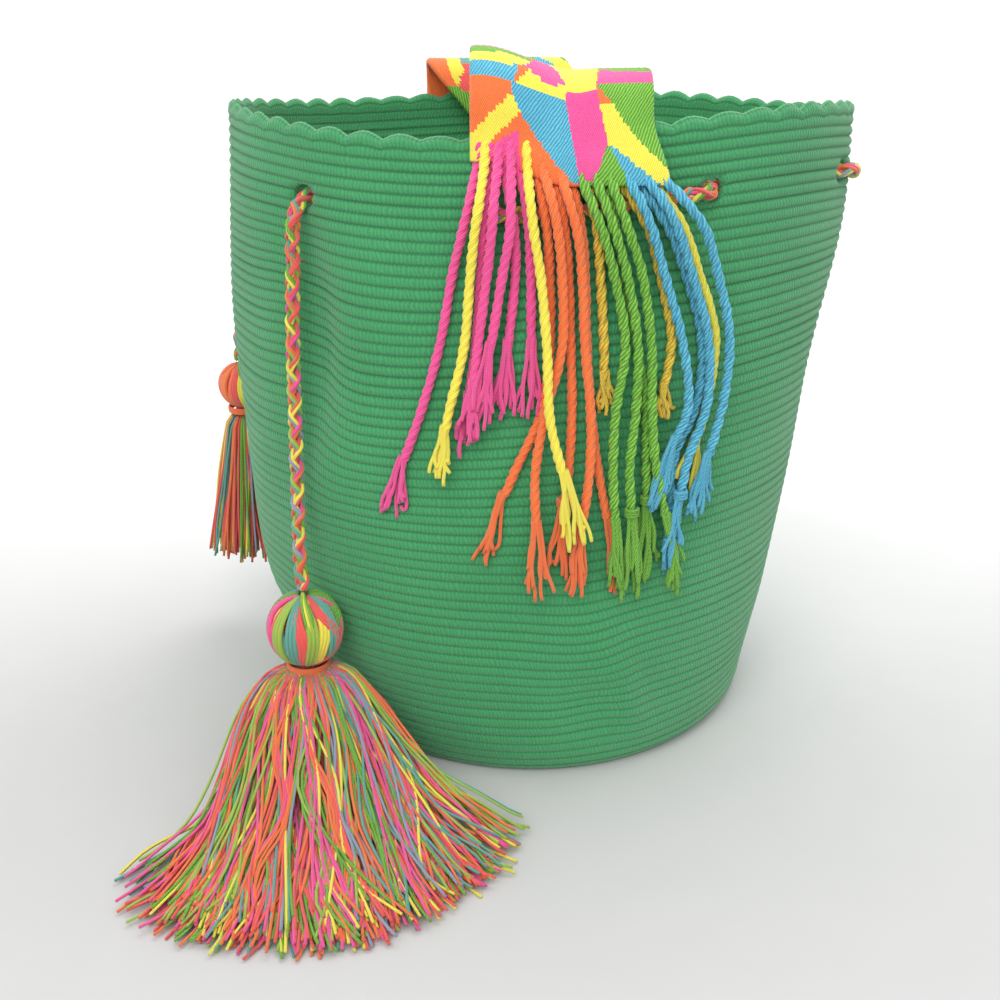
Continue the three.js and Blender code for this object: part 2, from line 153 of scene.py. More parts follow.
def area_light(name, place, target, size, watts, colour):
    light = bpy.data.lights.new(name, "AREA")
    light.shape = "DISK"
    light.size = size
    light.energy = watts
    light.color = colour
    piece = bpy.data.objects.new(name, light)
    piece.location = place
    piece.rotation_euler = (Vector(target) - Vector(place)).to_track_quat("-Z", "Y").to_euler()
    bpy.context.collection.objects.link(piece)


make_camera()

# ---------------------------------------------------------------- the wall's shape


def section_at(z):
    """Smooth outer sections at heights: arrays of centre x, centre y, half width, half depth."""
    rows = WALL_SECTIONS
    z = np.clip(np.asarray(z, float), 0, rows[-1, 0])
    last = len(rows) - 1
    i = np.clip(np.searchsorted(rows[:, 0], z, side="left") - 1, 0, last - 1)
    low, high = rows[i], rows[i + 1]
    before, after = rows[np.maximum(i - 1, 0)], rows[np.minimum(i + 2, last)]
    span = (high[..., 0] - low[..., 0])[..., None]
    t = (z[..., None] - low[..., :1]) / span
    start = (high - before) / (high - before)[..., :1]
    end = (after - low) / (after - low)[..., :1]
    value = ((2 * t**3 - 3 * t**2 + 1) * low + (t**3 - 2 * t**2 + t) * span * start
             + (3 * t**2 - 2 * t**3) * high + (t**3 - t**2) * span * end)
    return value[..., 1], value[..., 2], value[..., 3], value[..., 4]


def rim_height(angle):
    height = RIM_MEAN
    for k, (cosine, sine) in enumerate(RIM_HARMONICS, 1):
        height = height + cosine * np.cos(k * angle) + sine * np.sin(k * angle)
    return height


def valley_depth(angle, z):
    turn = angle - math.radians(VALLEY["angle"])
    turn = np.arctan2(np.sin(turn), np.cos(turn))
    across = np.exp(-((turn / math.radians(VALLEY["spread"])) ** 2))
    return VALLEY["depth"] * across * np.exp(-(((z - VALLEY["middle"]) / VALLEY["reach"]) ** 2))


def wall_point(angle, z, lift):
    """Points outside (+) or inside (-) the outer wall, millimetres."""
    angle, z = np.broadcast_arrays(np.asarray(angle, float), np.asarray(z, float))
    cx, cy, half_width, half_depth = section_at(z)
    out = lift - valley_depth(angle, z)
    x = cx + (half_width + out) * np.cos(angle)
    y = cy + (half_depth + out) * np.sin(angle)
    return np.stack([x, y, z], -1)


def wall_y(x, z, lift, side):
    """The front (side = -1) or far (side = 1) wall's y above given x and z."""
    cx, cy, half_width, half_depth = section_at(z)
    across = np.clip((x - cx) / (half_width + lift), -1, 1)
    angle = np.arctan2(side * np.sqrt(1 - across**2), across)
    out = lift - valley_depth(angle, z)
    return cy + side * (half_depth + out) * np.sqrt(1 - across**2)


# ---------------------------------------------------------------- mesh helpers


def make_piece(name, points, quads, materials, faces_material=None, uv=None, tris=None):
    """A mesh piece from millimetre points. uv is given once for each point."""
    quads = np.asarray(quads, int).reshape(-1, 4)
    tris = np.asarray([] if tris is None else tris, int).reshape(-1, 3)
    mesh = bpy.data.meshes.new(name)
    corners = np.concatenate([quads.ravel(), tris.ravel()])
    mesh.vertices.add(len(points))
    mesh.vertices.foreach_set("co", (np.asarray(points) * MM).astype(np.float32).ravel())
    mesh.loops.add(len(corners))
    mesh.loops.foreach_set("vertex_index", corners.astype(np.int32))
    sizes = np.concatenate([np.full(len(quads), 4), np.full(len(tris), 3)])
    mesh.polygons.add(len(sizes))
    starts = np.concatenate([[0], np.cumsum(sizes)[:-1]]).astype(np.int32)
    mesh.polygons.foreach_set("loop_start", starts)
    mesh.update(calc_edges=True)
    for material in materials:
        mesh.materials.append(material)
    if faces_material is not None:
        mesh.polygons.foreach_set("material_index", np.asarray(faces_material, np.int32))
    mesh.polygons.foreach_set("use_smooth", np.ones(len(sizes), bool))
    if uv is not None:
        layer = mesh.uv_layers.new(name="thread")
        layer.uv.foreach_set("vector", np.asarray(uv, np.float32)[corners].ravel())
    mesh.validate()
    piece = bpy.data.objects.new(name, mesh)
    bpy.context.collection.objects.link(piece)
    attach(piece, ROOT)
    return piece


def run_along(path):
    """Distance along a path, or along each of several, at every point."""
    steps = np.linalg.norm(np.diff(path, axis=-2), axis=-1)
    return np.concatenate([np.zeros(steps.shape[:-1] + (1,)), np.cumsum(steps, -1)], -1)


def points_at(path, run, distance):
    """Points of a path at the given distances along it."""
    return np.stack([np.interp(distance, run, path[:, k]) for k in range(3)], 1)


def smooth_path(points, spacing):
    """A centripetal Catmull-Rom curve through the points, at even steps of about spacing."""
    points = np.asarray(points, float)
    first, last = 2 * points[0] - points[1], 2 * points[-1] - points[-2]
    full = np.vstack([first, points, last])
    dense = []
    for a, b, c, d in zip(full, full[1:], full[2:], full[3:]):
        ta = 0.0
        tb = ta + math.sqrt(np.linalg.norm(b - a)) + 1e-9
        tc = tb + math.sqrt(np.linalg.norm(c - b)) + 1e-9
        td = tc + math.sqrt(np.linalg.norm(d - c)) + 1e-9
        t = np.linspace(tb, tc, 24, endpoint=False)[:, None]
        ab = (tb - t) / (tb - ta) * a + (t - ta) / (tb - ta) * b
        bc = (tc - t) / (tc - tb) * b + (t - tb) / (tc - tb) * c
        cd = (td - t) / (td - tc) * c + (t - tc) / (td - tc) * d
        abc = (tc - t) / (tc - ta) * ab + (t - ta) / (tc - ta) * bc
        bcd = (td - t) / (td - tb) * bc + (t - tb) / (td - tb) * cd
        dense.append((tc - t) / (tc - tb) * abc + (t - tb) / (tc - tb) * bcd)
    dense = np.vstack(dense + [points[-1:]])
    run = run_along(dense)
    steps = max(4, int(round(run[-1] / spacing)))
    return points_at(dense, run, np.linspace(0, run[-1], steps + 1))


def frames_along(paths):
    """Twist-free side and up directions along paths of shape (count, steps, 3)."""
    tangent = np.gradient(paths, axis=1)
    tangent /= np.linalg.norm(tangent, axis=2, keepdims=True) + 1e-12
    helper = np.where(np.abs(tangent[:, 0, 2:3]) < 0.8, [[0.0, 0, 1]], [[1.0, 0, 0]])
    side = np.empty_like(paths)
    current = np.cross(helper, tangent[:, 0])
    for step in range(paths.shape[1]):
        t = tangent[:, step]
        current = current - (current * t).sum(1, keepdims=True) * t
        current /= np.linalg.norm(current, axis=1, keepdims=True) + 1e-12
        side[:, step] = current
    return tangent, side, np.cross(tangent, side)


def tubes(paths, radius, sides):
    """Closed tubes along paths (count, steps, 3). radius broadcasts to (count, steps, sides)."""
    count, steps, _ = paths.shape
    _, side, up = frames_along(paths)
    turn = 2 * np.pi * np.arange(sides) / sides
    radius = np.broadcast_to(radius, (count, steps, sides))[..., None]
    ring = (side[:, :, None] * np.cos(turn)[:, None] + up[:, :, None] * np.sin(turn)[:, None])
    points = (paths[:, :, None] + radius * ring).reshape(count, steps * sides, 3)
    caps = paths[:, [0, -1]]
    points = np.concatenate([points, caps], 1)
    i = np.arange(steps - 1)[:, None] * sides
    j = np.arange(sides)
    k = (j + 1) % sides
    quad = np.stack([i + j, i + k, i + sides + k, i + sides + j], -1).reshape(-1, 4)
    low, high = steps * sides, steps * sides + 1
    end = (steps - 1) * sides
    tri = np.concatenate([np.stack([k, j, np.full(sides, low)], -1),
                          np.stack([end + j, end + k, np.full(sides, high)], -1)])
    per = points.shape[1]
    shift = (np.arange(count) * per)[:, None, None]
    run = run_along(paths)
    u = np.broadcast_to((np.arange(sides) / sides)[None, None], (count, steps, sides))
    v = np.broadcast_to(run[:, :, None], (count, steps, sides))
    uv = np.stack([u, v], -1).reshape(count, steps * sides, 2)
    uv = np.concatenate([uv, np.stack([np.zeros((count, 2)), run[:, [0, -1]]], -1)], 1)
    return (points.reshape(-1, 3), (quad[None] + shift).reshape(-1, 4),
            (tri[None] + shift).reshape(-1, 3), uv.reshape(-1, 2))


class Bundle:
    """Gathers tubes of several yarns into one piece, each with its own material."""

    def __init__(self, name, materials):
        self.name, self.materials = name, materials
        self.parts = []
        self.count = 0

    def add(self, paths, radius, sides, yarns):
        """yarns is the material number of each path."""
        points, quads, tris, uv = tubes(np.asarray(paths, float), radius, sides)
        yarns = np.asarray(yarns, int)
        quad_yarn = np.repeat(yarns, len(quads) // len(yarns))
        tri_yarn = np.repeat(yarns, len(tris) // len(yarns))
        self.parts.append((points, quads + self.count, tris + self.count, uv, quad_yarn, tri_yarn))
        self.count += len(points)

    def finish(self):
        points, quads, tris, uv, quad_yarn, tri_yarn = (
            np.concatenate([part[k] for part in self.parts]) for k in range(6))
        yarn = np.concatenate([quad_yarn, tri_yarn])
        return make_piece(self.name, points, quads, self.materials, yarn, uv, tris)


# ---------------------------------------------------------------- materials


def linear(hex_colour):
    """sRGB hex to the linear colour that the shaders use."""
    values = [int(hex_colour[k:k + 2], 16) / 255 for k in (1, 3, 5)]
    return [v / 12.92 if v <= 0.04045 else ((v + 0.055) / 1.055) ** 2.4 for v in values] + [1]


def add_node(tree, kind, settings=None, **inputs):
    """Adds a node with its settings. Inputs go by name, or by number as n0, n1 and so on, and
    each is a value, a socket, or a node whose first output is linked."""
    node = tree.nodes.new("ShaderNode" + kind)
    for key, value in (settings or {}).items():
        setattr(node, key, value)
    for key, value in inputs.items():
        numbered = key[0] == "n" and key[1:].isdigit()
        socket = node.inputs[int(key[1:]) if numbered else key.replace("_", " ")]
        if isinstance(value, bpy.types.Node):
            value = value.outputs[0]
        if isinstance(value, bpy.types.NodeSocket):
            tree.links.new(value, socket)
        else:
            socket.default_value = value
    return node


def start_material(name):
    material = bpy.data.materials.new(name)
    material.use_nodes = True
    tree = material.node_tree
    tree.nodes.clear()
    return material, tree


def start_cotton(name):
    """A new material, its thread coordinates (around, along) and its place on the object."""
    material, tree = start_material(name)
    coordinates = add_node(tree, "UVMap", {"uv_map": "thread"})
    split = add_node(tree, "SeparateXYZ", Vector=coordinates)
    place = add_node(tree, "TexCoord")
    return material, tree, split, place.outputs["Object"]


def finish_cotton(tree, place, height, shade, colours, patches, relief_mm, **surface):
    """Fades the colour in soft patches, raises the threads and gives a dull, fuzzy surface.
    colours holds the threads' own colour and the painted shade colour between them, and shade runs
    between the two. patches holds the noise's scale, its detail, and the least that a patch lets
    through."""
    noise = add_node(tree, "TexNoise", Vector=place, Scale=patches[0], Detail=patches[1])
    mottled = add_node(tree, "MapRange", Value=noise, n1=0.3, n2=0.7, n3=patches[2], n4=1.0)
    amount = add_node(tree, "Math", {"operation": "MULTIPLY"}, n0=shade, n1=mottled)
    # Painted shade: where shade is low, the colour goes to the dark colour between the threads.
    colour = add_node(tree, "Mix", {"data_type": "RGBA"}, n0=amount,
                      n6=linear(colours[1]), n7=linear(colours[0]))
    bump = add_node(tree, "Bump", Strength=0.6, Distance=relief_mm * MM, Height=height)
    cotton = add_node(tree, "BsdfPrincipled", Base_Color=colour.outputs[2], Normal=bump, **surface)
    add_node(tree, "OutputMaterial", Surface=cotton)


def yarn_material(name, colours, thread_mm, starts, depth, sheen):
    """Cotton yarn twisted from many threads: slanted threads with a painted highlight on top, painted
    shade in a deeper colour between them, and a fine fuzz. thread_mm is their spacing along the cord."""
    material, tree, split, place = start_cotton(name)
    wander = add_node(tree, "TexNoise", Vector=place, Scale=260.0, Detail=2.0)
    around = add_node(tree, "Math", {"operation": "MULTIPLY_ADD"},
                      n0=split.outputs[0], n1=float(-starts), n2=wander)
    along = add_node(tree, "Math", {"operation": "MULTIPLY_ADD"},
                     n0=split.outputs[1], n1=1 / thread_mm, n2=around)
    phase = add_node(tree, "Math", {"operation": "MULTIPLY"}, n0=along, n1=2 * math.pi)
    wave = add_node(tree, "Math", {"operation": "SINE"}, n0=phase)
    fibres = add_node(tree, "TexNoise", Vector=place, Scale=2200.0, Detail=3.0, Roughness=0.6)
    height = add_node(tree, "Math", {"operation": "MULTIPLY_ADD"}, n0=fibres, n1=1.6, n2=wave)
    # Painted shade and highlight: the colour is darkest between the threads, by up to depth, and
    # lightest on their tops.
    shade = add_node(tree, "MapRange", Value=height, n1=-0.4, n2=1.7, n3=1.0 - depth, n4=1.0)
    finish_cotton(tree, place, height, shade, colours, (70.0, 2.0, 0.75),
                  0.3, Roughness=0.8, IOR=1.5, Sheen_Weight=sheen, Sheen_Roughness=0.4)
    return material


def crochet_material(name, colours):
    """Tight single crochet in soft cotton: each row is a rounded ridge of slanted stitches, dull and
    painted palest on top, with painted shade in a deep colour down in the grooves and a light bloom
    of loose fibre."""
    material, tree, split, place = start_cotton(name)
    wander = add_node(tree, "TexNoise", Vector=place, Scale=160.0, Detail=2.0)
    row = add_node(tree, "Math", {"operation": "FRACT"}, n0=split.outputs[1])
    lean = add_node(tree, "Math", {"operation": "MULTIPLY_ADD"},
                    n0=row, n1=0.5, n2=split.outputs[0])
    loose = add_node(tree, "Math", {"operation": "MULTIPLY_ADD"}, n0=wander, n1=2.4, n2=lean)
    phase = add_node(tree, "Math", {"operation": "MULTIPLY"}, n0=loose, n1=2 * math.pi)
    stitch = add_node(tree, "Math", {"operation": "SINE"}, n0=phase)
    middle = add_node(tree, "Math", {"operation": "SUBTRACT"}, n0=row, n1=0.5)
    away = add_node(tree, "Math", {"operation": "ABSOLUTE"}, n0=middle)
    groove = add_node(tree, "MapRange", {"interpolation_type": "SMOOTHSTEP"},
                      Value=away, n1=0.26, n2=0.5, n3=0.0, n4=0.8)
    fibres = add_node(tree, "TexNoise", Vector=place, Scale=1500.0, Detail=4.0, Roughness=0.65)
    threads = add_node(tree, "Math", {"operation": "MULTIPLY_ADD"}, n0=stitch, n1=0.3, n2=fibres)
    height = add_node(tree, "Math", {"operation": "SUBTRACT"}, n0=threads, n1=groove)
    # Painted shade: the colour darkens to the groove colour down in the grooves and is palest on the
    # stitches' tops.
    pale = add_node(tree, "MapRange", Value=height, n1=-0.9, n2=0.95, n3=0.0, n4=1.0)
    finish_cotton(tree, place, height, pale, colours, (22.0, 3.0, 0.82),
                  0.6, Roughness=0.9, IOR=1.45, Sheen_Weight=0.3, Sheen_Roughness=0.5)
    return material


def floor_material():
    """Matt white board: a faint grain, and painted shade that makes it a little darker towards the
    front edge.
    """
    material, tree = start_material("white_board")
    place = add_node(tree, "TexCoord")
    split = add_node(tree, "SeparateXYZ", Vector=place.outputs["Object"])
    # Painted shade: the board's colour darkens towards its front edge.
    painted_shade = add_node(tree, "MapRange", {"interpolation_type": "SMOOTHSTEP"},
                    Value=split.outputs[1], n1=-0.2, n2=0.6, n3=0.51, n4=0.93)
    grain = add_node(tree, "TexNoise", Vector=place.outputs["Object"], Scale=40.0, Detail=4.0)
    shade = add_node(tree, "Math", {"operation": "MULTIPLY_ADD"}, n0=grain, n1=0.02, n2=painted_shade)
    surface = add_node(tree, "BsdfPrincipled", Base_Color=shade, Roughness=0.7)
    add_node(tree, "OutputMaterial", Surface=surface)
    return material


FINE = (1.4, 9, 0.75, 0.35)          # soft yarn: thread spacing, starts, depth of painted shade between threads, sheen
PAINTED_GLOSS = (2.0, 6, 1.0, 0.15)         # mercerised yarn: threads painted bright on top, with the full painted shade between them
YARN_COLOURS = {              # each yarn's colour on its threads and its painted shade colour between them, and its make
    "pink": ("#ff64ac", "#ea3c88", FINE),
    "yellow": ("#fff65c", "#f2dc3c", FINE),
    "mustard": ("#f2d84e", "#c49a30", PAINTED_GLOSS),
    "orange": ("#ff8a48", "#f25c24", FINE),
    "green": ("#93d24e", "#3f8526", PAINTED_GLOSS),
    "blue": ("#72cbe4", "#2f8cae", PAINTED_GLOSS),
    "coral": ("#ff6a62", "#ea4348", FINE),
    "lime": ("#b4d455", "#86aa34", FINE),
    "teal": ("#6fb8a8", "#468f83", FINE),
    "slate": ("#a3aec4", "#7b87a2", FINE),
}
YARNS = {key: yarn_material(f"{key}_cotton_yarn", (light, dark), *make)
         for key, (light, dark, make) in YARN_COLOURS.items()}
YARN_LIST = list(YARNS.values())
YARN_NUMBER = {key: number for number, key in enumerate(YARNS)}
MIXED = ["coral", "orange", "pink", "yellow", "lime", "green", "teal", "slate"]
MIXED_SHARE = [0.24, 0.17, 0.15, 0.14, 0.09, 0.09, 0.07, 0.05]
# The crochet's colour on the stitches' tops, and its painted shade colour in the grooves.
green_crochet = crochet_material("green_crochet_cotton", ("#46a468", "#1c6a3a"))


def mixed_yarns(count):
    return [YARN_NUMBER[key] for key in rng.choice(MIXED, count, p=MIXED_SHARE)]


# ---------------------------------------------------------------- bag body

COLUMNS = SCALLOPS * 5
STEPS_PER_ROW = 4
ROW_PLACES = [0.0, 0.16, 0.5, 0.84]    # where in a row the mesh has its rings
RINGS_UP = ROWS * STEPS_PER_ROW
EYELET_BAND = range((ROWS - 9) * STEPS_PER_ROW, (ROWS - 3) * STEPS_PER_ROW)    # rings with eyelets
BASE_RINGS = 16
HOLE_ROUNDING = 0.7           # how far an eyelet's edge is drawn in from either skin


def eyelet_height(angle):
    return rim_height(angle) - EYELET_DROP


row_depth = rng.uniform(0.15, 0.95, ROWS + 2)
row_turn = rng.uniform(0, 2 * np.pi, ROWS + 2)


def smooth_step(value, low, high):
    share = np.clip((value - low) / (high - low), 0, 1)
    return share * share * (3 - 2 * share)


def crease_turn(angle, z):
    """Degrees round the wall from the crease that runs down beside the drawstring's tail."""
    middle = -131 - 4.0 * ((z - 200) / 56) ** 2 - 4 * smooth_step(170 - z, 0, 60)
    turn = np.degrees(angle) - middle
    return (turn + 180) % 360 - 180


def row_sag(angle, share):
    """How far a row of crochet hangs below its place on a tidy bag, millimetres."""
    z = share * RIM_MEAN
    turn = crease_turn(angle, z)
    drag = 6.0 * smooth_step(turn, -1, 12) * (1 - smooth_step(turn, 16, 55))
    drag = drag * np.exp(-(((z - 165) / 60) ** 2))
    lift = 2.5 * np.exp(-(((turn + 9) / 7) ** 2)) * np.exp(-(((z - 215) / 50) ** 2))
    slump = 5.5 * np.exp(-(((np.degrees(angle) + 80) / 9.5) ** 2))
    slump = slump * np.exp(-(((z - 62) / 34) ** 2))
    idle = 1.5 * np.sin(2 * angle + 5 * share + 0.6) + 0.8 * np.sin(5 * angle - 9 * share)
    held = smooth_step(share, 0.02, 0.16) * (1 - smooth_step(share, 0.72, 0.93))
    return (drag - lift + slump + idle) * held


def crochet_relief(angle, rows_up):
    """How far the rounded rows stand proud of the wall, with a narrow groove between them."""
    inside = rows_up - np.floor(rows_up)
    near_row = np.round(rows_up).astype(int)
    gap = np.abs(rows_up - near_row)
    depth = row_depth[near_row] * (1 + 0.35 * np.sin(4 * angle + row_turn[near_row]))
    share = rows_up / ROWS
    worn = 0.55 + 0.45 * smooth_step(share + 0.1 * np.sin(2 * angle + 1), 0.3, 0.75)
    ridge = 0.55 * (1 - (2 * inside - 1) ** 2)
    return worn * (ridge - depth * np.exp(-((gap / 0.16) ** 2)))


def fold_relief(angle, share, z):
    """How far the wall's folds, dents and slack stand proud of the plain wall."""
    free = smooth_step(share, 0.01, 0.1)
    turn = crease_turn(angle, z)
    side = np.where(turn > 0, 5.0, 9.0)
    reach = np.exp(-(((z - 200) / 58) ** 2))
    fold = 6.5 * np.exp(-((turn / side) ** 2)) * reach
    swell = 1.8 * np.exp(-(((turn - 14) / 9) ** 2)) * reach
    low_turn = np.degrees(angle) + 70 + 6 * (share - 0.17) / 0.12
    low_reach = np.exp(-(((share - 0.15) / 0.13) ** 2))
    ridge = 3.0 * np.exp(-((low_turn / 4.5) ** 2)) * low_reach
    dish = 3.4 * np.exp(-(((low_turn + 10) / 7) ** 2)) * low_reach
    slack = (0.9 * np.sin(3 * angle + 9 * share) * np.sin(7 * share + 2)
             + 0.45 * np.sin(7 * angle - 14 * share + 1.3))
    return valley_depth(angle, z) - fold + swell + free * (slack + ridge - dish)


def grid_quads(first, second, columns):
    """Quads between two rings of point numbers."""
    i = np.arange(columns)
    j = (i + 1) % columns
    return np.stack([first + i, first + j, second + j, second + i], -1)


def eyelet_cells(angle, z):
    """Which cells of the wall the eyelets take out, and each of their corners' own eyelet."""
    removed = np.zeros((RINGS_UP, COLUMNS), bool)
    corners = {}
    middle_angle = angle + np.pi / COLUMNS
    for degrees in EYELET_ANGLES:
        a = math.radians(degrees)
        height = float(eyelet_height(a))
        _, _, half_width, half_depth = section_at(height)
        arc = math.hypot(half_width * math.sin(a), half_depth * math.cos(a))
        turn = np.arctan2(np.sin(middle_angle - a), np.cos(middle_angle - a)) * arc
        for k in EYELET_BAND:
            rise = (z[k] + z[k + 1]) / 2 - height
            inside = (turn / EYELET_HALF_LENGTH) ** 2 + (rise / EYELET_HALF_HEIGHT) ** 2 < 1
            removed[k] |= inside
            for i in np.nonzero(inside)[0]:
                j = (i + 1) % COLUMNS
                for corner in ((k, i), (k + 1, i), (k, j), (k + 1, j)):
                    corners[corner] = (a, height, arc)
    return removed, corners


def draw_eyelets_round(outer, inner, inner_rows, angle, z, removed, corners):
    """Moves the points round each hole onto its eyelet's outline, on both skins."""
    inner_row = {int(k): n for n, k in enumerate(inner_rows)}
    for (k, i), (a, height, arc) in corners.items():
        around = [(k, i), (k - 1, i), (k, (i - 1) % COLUMNS), (k - 1, (i - 1) % COLUMNS)]
        if all(removed[cell] for cell in around):
            continue
        turn = math.atan2(math.sin(angle[i] - a), math.cos(angle[i] - a)) * arc
        rise = z[k, i] - height
        reach = math.hypot(turn / EYELET_HALF_LENGTH, rise / EYELET_HALF_HEIGHT)
        place = a + turn / reach / arc
        level = height + rise / reach
        outer[k, i] = wall_point(place, level, -HOLE_ROUNDING)
        inner[inner_row[k], i] = wall_point(place, level, HOLE_ROUNDING - WALL_THICKNESS)


def eyelet_walls(removed, inner_start):
    """Quads that join the two skins round each hole. inner_start is each inner ring's first
    point number."""
    walls = []
    for k, i in zip(*np.nonzero(removed)):
        j = (i + 1) % COLUMNS
        edges = [((k - 1, i), (k, i), (k, j)), ((k + 1, i), (k + 1, j), (k + 1, i)),
                 ((k, (i - 1) % COLUMNS), (k + 1, i), (k, i)), ((k, j), (k, j), (k + 1, j))]
        for neighbour, p, q in edges:
            if not removed[neighbour]:
                walls.append([p[0] * COLUMNS + p[1], q[0] * COLUMNS + q[1],
                              inner_start[q[0]] + q[1], inner_start[p[0]] + p[1]])
    return np.array(walls)


def base_disc(angle, uv_around, previous, count, level, under):
    """Rings of crochet that close the ring of points that starts at previous: the underside or
    the inside floor. count is the first free point number."""
    points, uv, quads = [], [], []
    for n, size in enumerate(np.linspace(1, 0, BASE_RINGS + 2)[1:-1]):
        radius = BASE_RADIUS * size
        sunk = 0.35 * (n % 2)
        z = np.full(COLUMNS, level + sunk if under else level - sunk)
        points.append(np.stack([radius * np.cos(angle), radius * np.sin(angle), z], -1))
        uv.append(np.stack([uv_around, np.full(COLUMNS, 0.5 * n)], -1))
        ring = grid_quads(previous, count, COLUMNS)
        quads.append(ring[:, ::-1] if under else ring)
        previous = count
        count += COLUMNS
    points.append(np.array([[0, 0, level]]))
    uv.append(np.zeros((1, 2)))
    i = np.arange(COLUMNS)
    fan = np.stack([previous + i, previous + (i + 1) % COLUMNS, np.full(COLUMNS, count)], -1)
    return points, uv, quads, fan[:, ::-1] if under else fan


def bag_body():
    angle = -np.pi + 2 * np.pi * np.arange(COLUMNS) / COLUMNS
    uneven = 0.8 + 0.25 * np.sin(3 * angle + 1) * np.sin(11 * angle)
    scallop = SCALLOP_RISE * uneven * (np.abs(np.sin(angle * SCALLOPS / 2)) - 0.7)
    rim = rim_height(angle)
    steps = np.arange(RINGS_UP + 1)
    rows_up = steps // STEPS_PER_ROW + np.array(ROW_PLACES)[steps % STEPS_PER_ROW]
    # The last rows carry the scallops; the crochet follows the rim's wavy height.
    share = rows_up / ROWS
    raise_scallop = np.clip((rows_up - (ROWS - 1.6)) / 1.6, 0, 1)
    z = share[:, None] * rim[None] + raise_scallop[:, None] * scallop[None]
    grid_angle = np.broadcast_to(angle, z.shape)
    z = z - row_sag(grid_angle, share[:, None])
    folds = fold_relief(grid_angle, share[:, None], z)
    relief = folds + crochet_relief(grid_angle, np.broadcast_to(rows_up[:, None], z.shape))
    relief[-1] = folds[-1] - 0.9
    outer = wall_point(grid_angle, z, relief)

    # The inside is coarser low down, where little of it is seen.
    seen = RINGS_UP // 2 + 4
    inner_rows = np.concatenate([
        np.arange(8, seen, 8), np.arange(seen, EYELET_BAND.start, 3),
        np.arange(EYELET_BAND.start, EYELET_BAND.stop + 1),
        np.arange(EYELET_BAND.stop + 2, RINGS_UP, 2), [RINGS_UP]])
    inner_rib = 0.35 * np.sin(2 * np.pi * rows_up[inner_rows, None])
    inner_lift = folds[inner_rows] - WALL_THICKNESS + inner_rib
    inner_lift[-1] = folds[-1] - WALL_THICKNESS + 0.9
    inner = wall_point(grid_angle[inner_rows], z[inner_rows], inner_lift)
    crest = wall_point(angle, rim + scallop + 0.9, folds[-1] - WALL_THICKNESS / 2)
    removed, corners = eyelet_cells(angle, z)
    draw_eyelets_round(outer, inner, inner_rows, angle, z, removed, corners)

    points = [outer.reshape(-1, 3), crest, inner.reshape(-1, 3)]
    uv_around = STITCHES * np.arange(COLUMNS) / COLUMNS
    uv = [np.stack(np.broadcast_arrays(uv_around[None], rows_up[:, None]), -1).reshape(-1, 2),
          np.stack([uv_around, np.full(COLUMNS, ROWS - 0.5)], -1),
          np.stack(np.broadcast_arrays(uv_around[None], rows_up[inner_rows, None] + 0.5),
                   -1).reshape(-1, 2)]
    crest_start = (RINGS_UP + 1) * COLUMNS
    inner_start = {int(k): crest_start + (n + 1) * COLUMNS for n, k in enumerate(inner_rows)}

    quads = []
    for k in range(RINGS_UP):
        ring = grid_quads(k * COLUMNS, (k + 1) * COLUMNS, COLUMNS)
        quads.append(ring[~removed[k]])
    quads.append(grid_quads(RINGS_UP * COLUMNS, crest_start, COLUMNS))
    quads.append(grid_quads(crest_start, inner_start[RINGS_UP], COLUMNS))
    for low, high in zip(inner_rows, inner_rows[1:]):
        ring = grid_quads(inner_start[int(high)], inner_start[int(low)], COLUMNS)
        keep = ~removed[low] if low in EYELET_BAND else np.ones(COLUMNS, bool)
        quads.append(ring[keep])
    quads.append(eyelet_walls(removed, inner_start))

    tris = []
    for under, first, level in ((True, 0, 0.0),
                                (False, inner_start[int(inner_rows[0])], FLOOR_THICKNESS)):
        count = sum(len(group) for group in points)
        disc_points, disc_uv, disc_quads, fan = base_disc(angle, uv_around, first, count, level,
                                                          under)
        points += disc_points
        uv += disc_uv
        quads += disc_quads
        tris.append(fan)
    piece = make_piece("crocheted_bag", np.concatenate(points), np.concatenate(quads),
                       [green_crochet], uv=np.concatenate(uv), tris=np.concatenate(tris))
    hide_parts("bag_body")
    return piece


# ---------------------------------------------------------------- strap

STRAP_FIELDS = [              # colour fields of one repeat: corners (across, along), first found wins
    ("yellow", [(-38, -2), (-38, 10), (-21, 29), (-17, 24), (-31, 6), (-32, -2)]),
    ("orange", [(-40, 8), (-40, 34), (-21, 34), (-21, 27)]),
    ("pink", [(-32, -2), (-31, 5), (-18, 16), (-17, -2)]),
    ("blue", [(-22, 34), (-19, 25), (-8, 13), (5, 1), (7, 2), (1, 34)]),
    ("orange", [(-20, 27), (-18, -2), (8, -2), (6, 1), (-8, 13)]),
    ("pink", [(1, 34), (6, 1), (12, 2), (18, 18), (14, 38), (2, 38)]),
    ("yellow", [(15, 31), (21, 31), (43, -2), (36, -2), (18, 17)]),
    ("green", [(14, 40), (21, 30), (39, 2), (40, 40)]),
    ("green", [(18, 17), (6, 1), (8, -3), (25, -3)]),
    ("blue", [(18, 17), (24, -3), (42, -3)]),
]
STRAP_TOP_FIELDS = [
    ("blue", [(-40, 33), (-40, 39), (-18, 41), (-20, 33)]),
    ("yellow", [(-40, 39), (-40, 45), (-12, 47), (-18, 41)]),
    ("green", [(-40, 45), (-40, 52), (-14, 52), (-12, 47)]),
    ("pink", [(-40, 52), (-40, 62), (-8, 58), (2, 40), (-6, 38)]),
    ("yellow", [(-20, 33), (-10, 46), (-4, 60), (16, 62), (14, 38), (2, 34)]),
    ("pink", [(14, 38), (16, 50), (40, 46), (40, 38)]),
    ("green", [(14, 48), (14, 64), (40, 60), (40, 46)]),
]
STRAP_REPEAT = 66.0
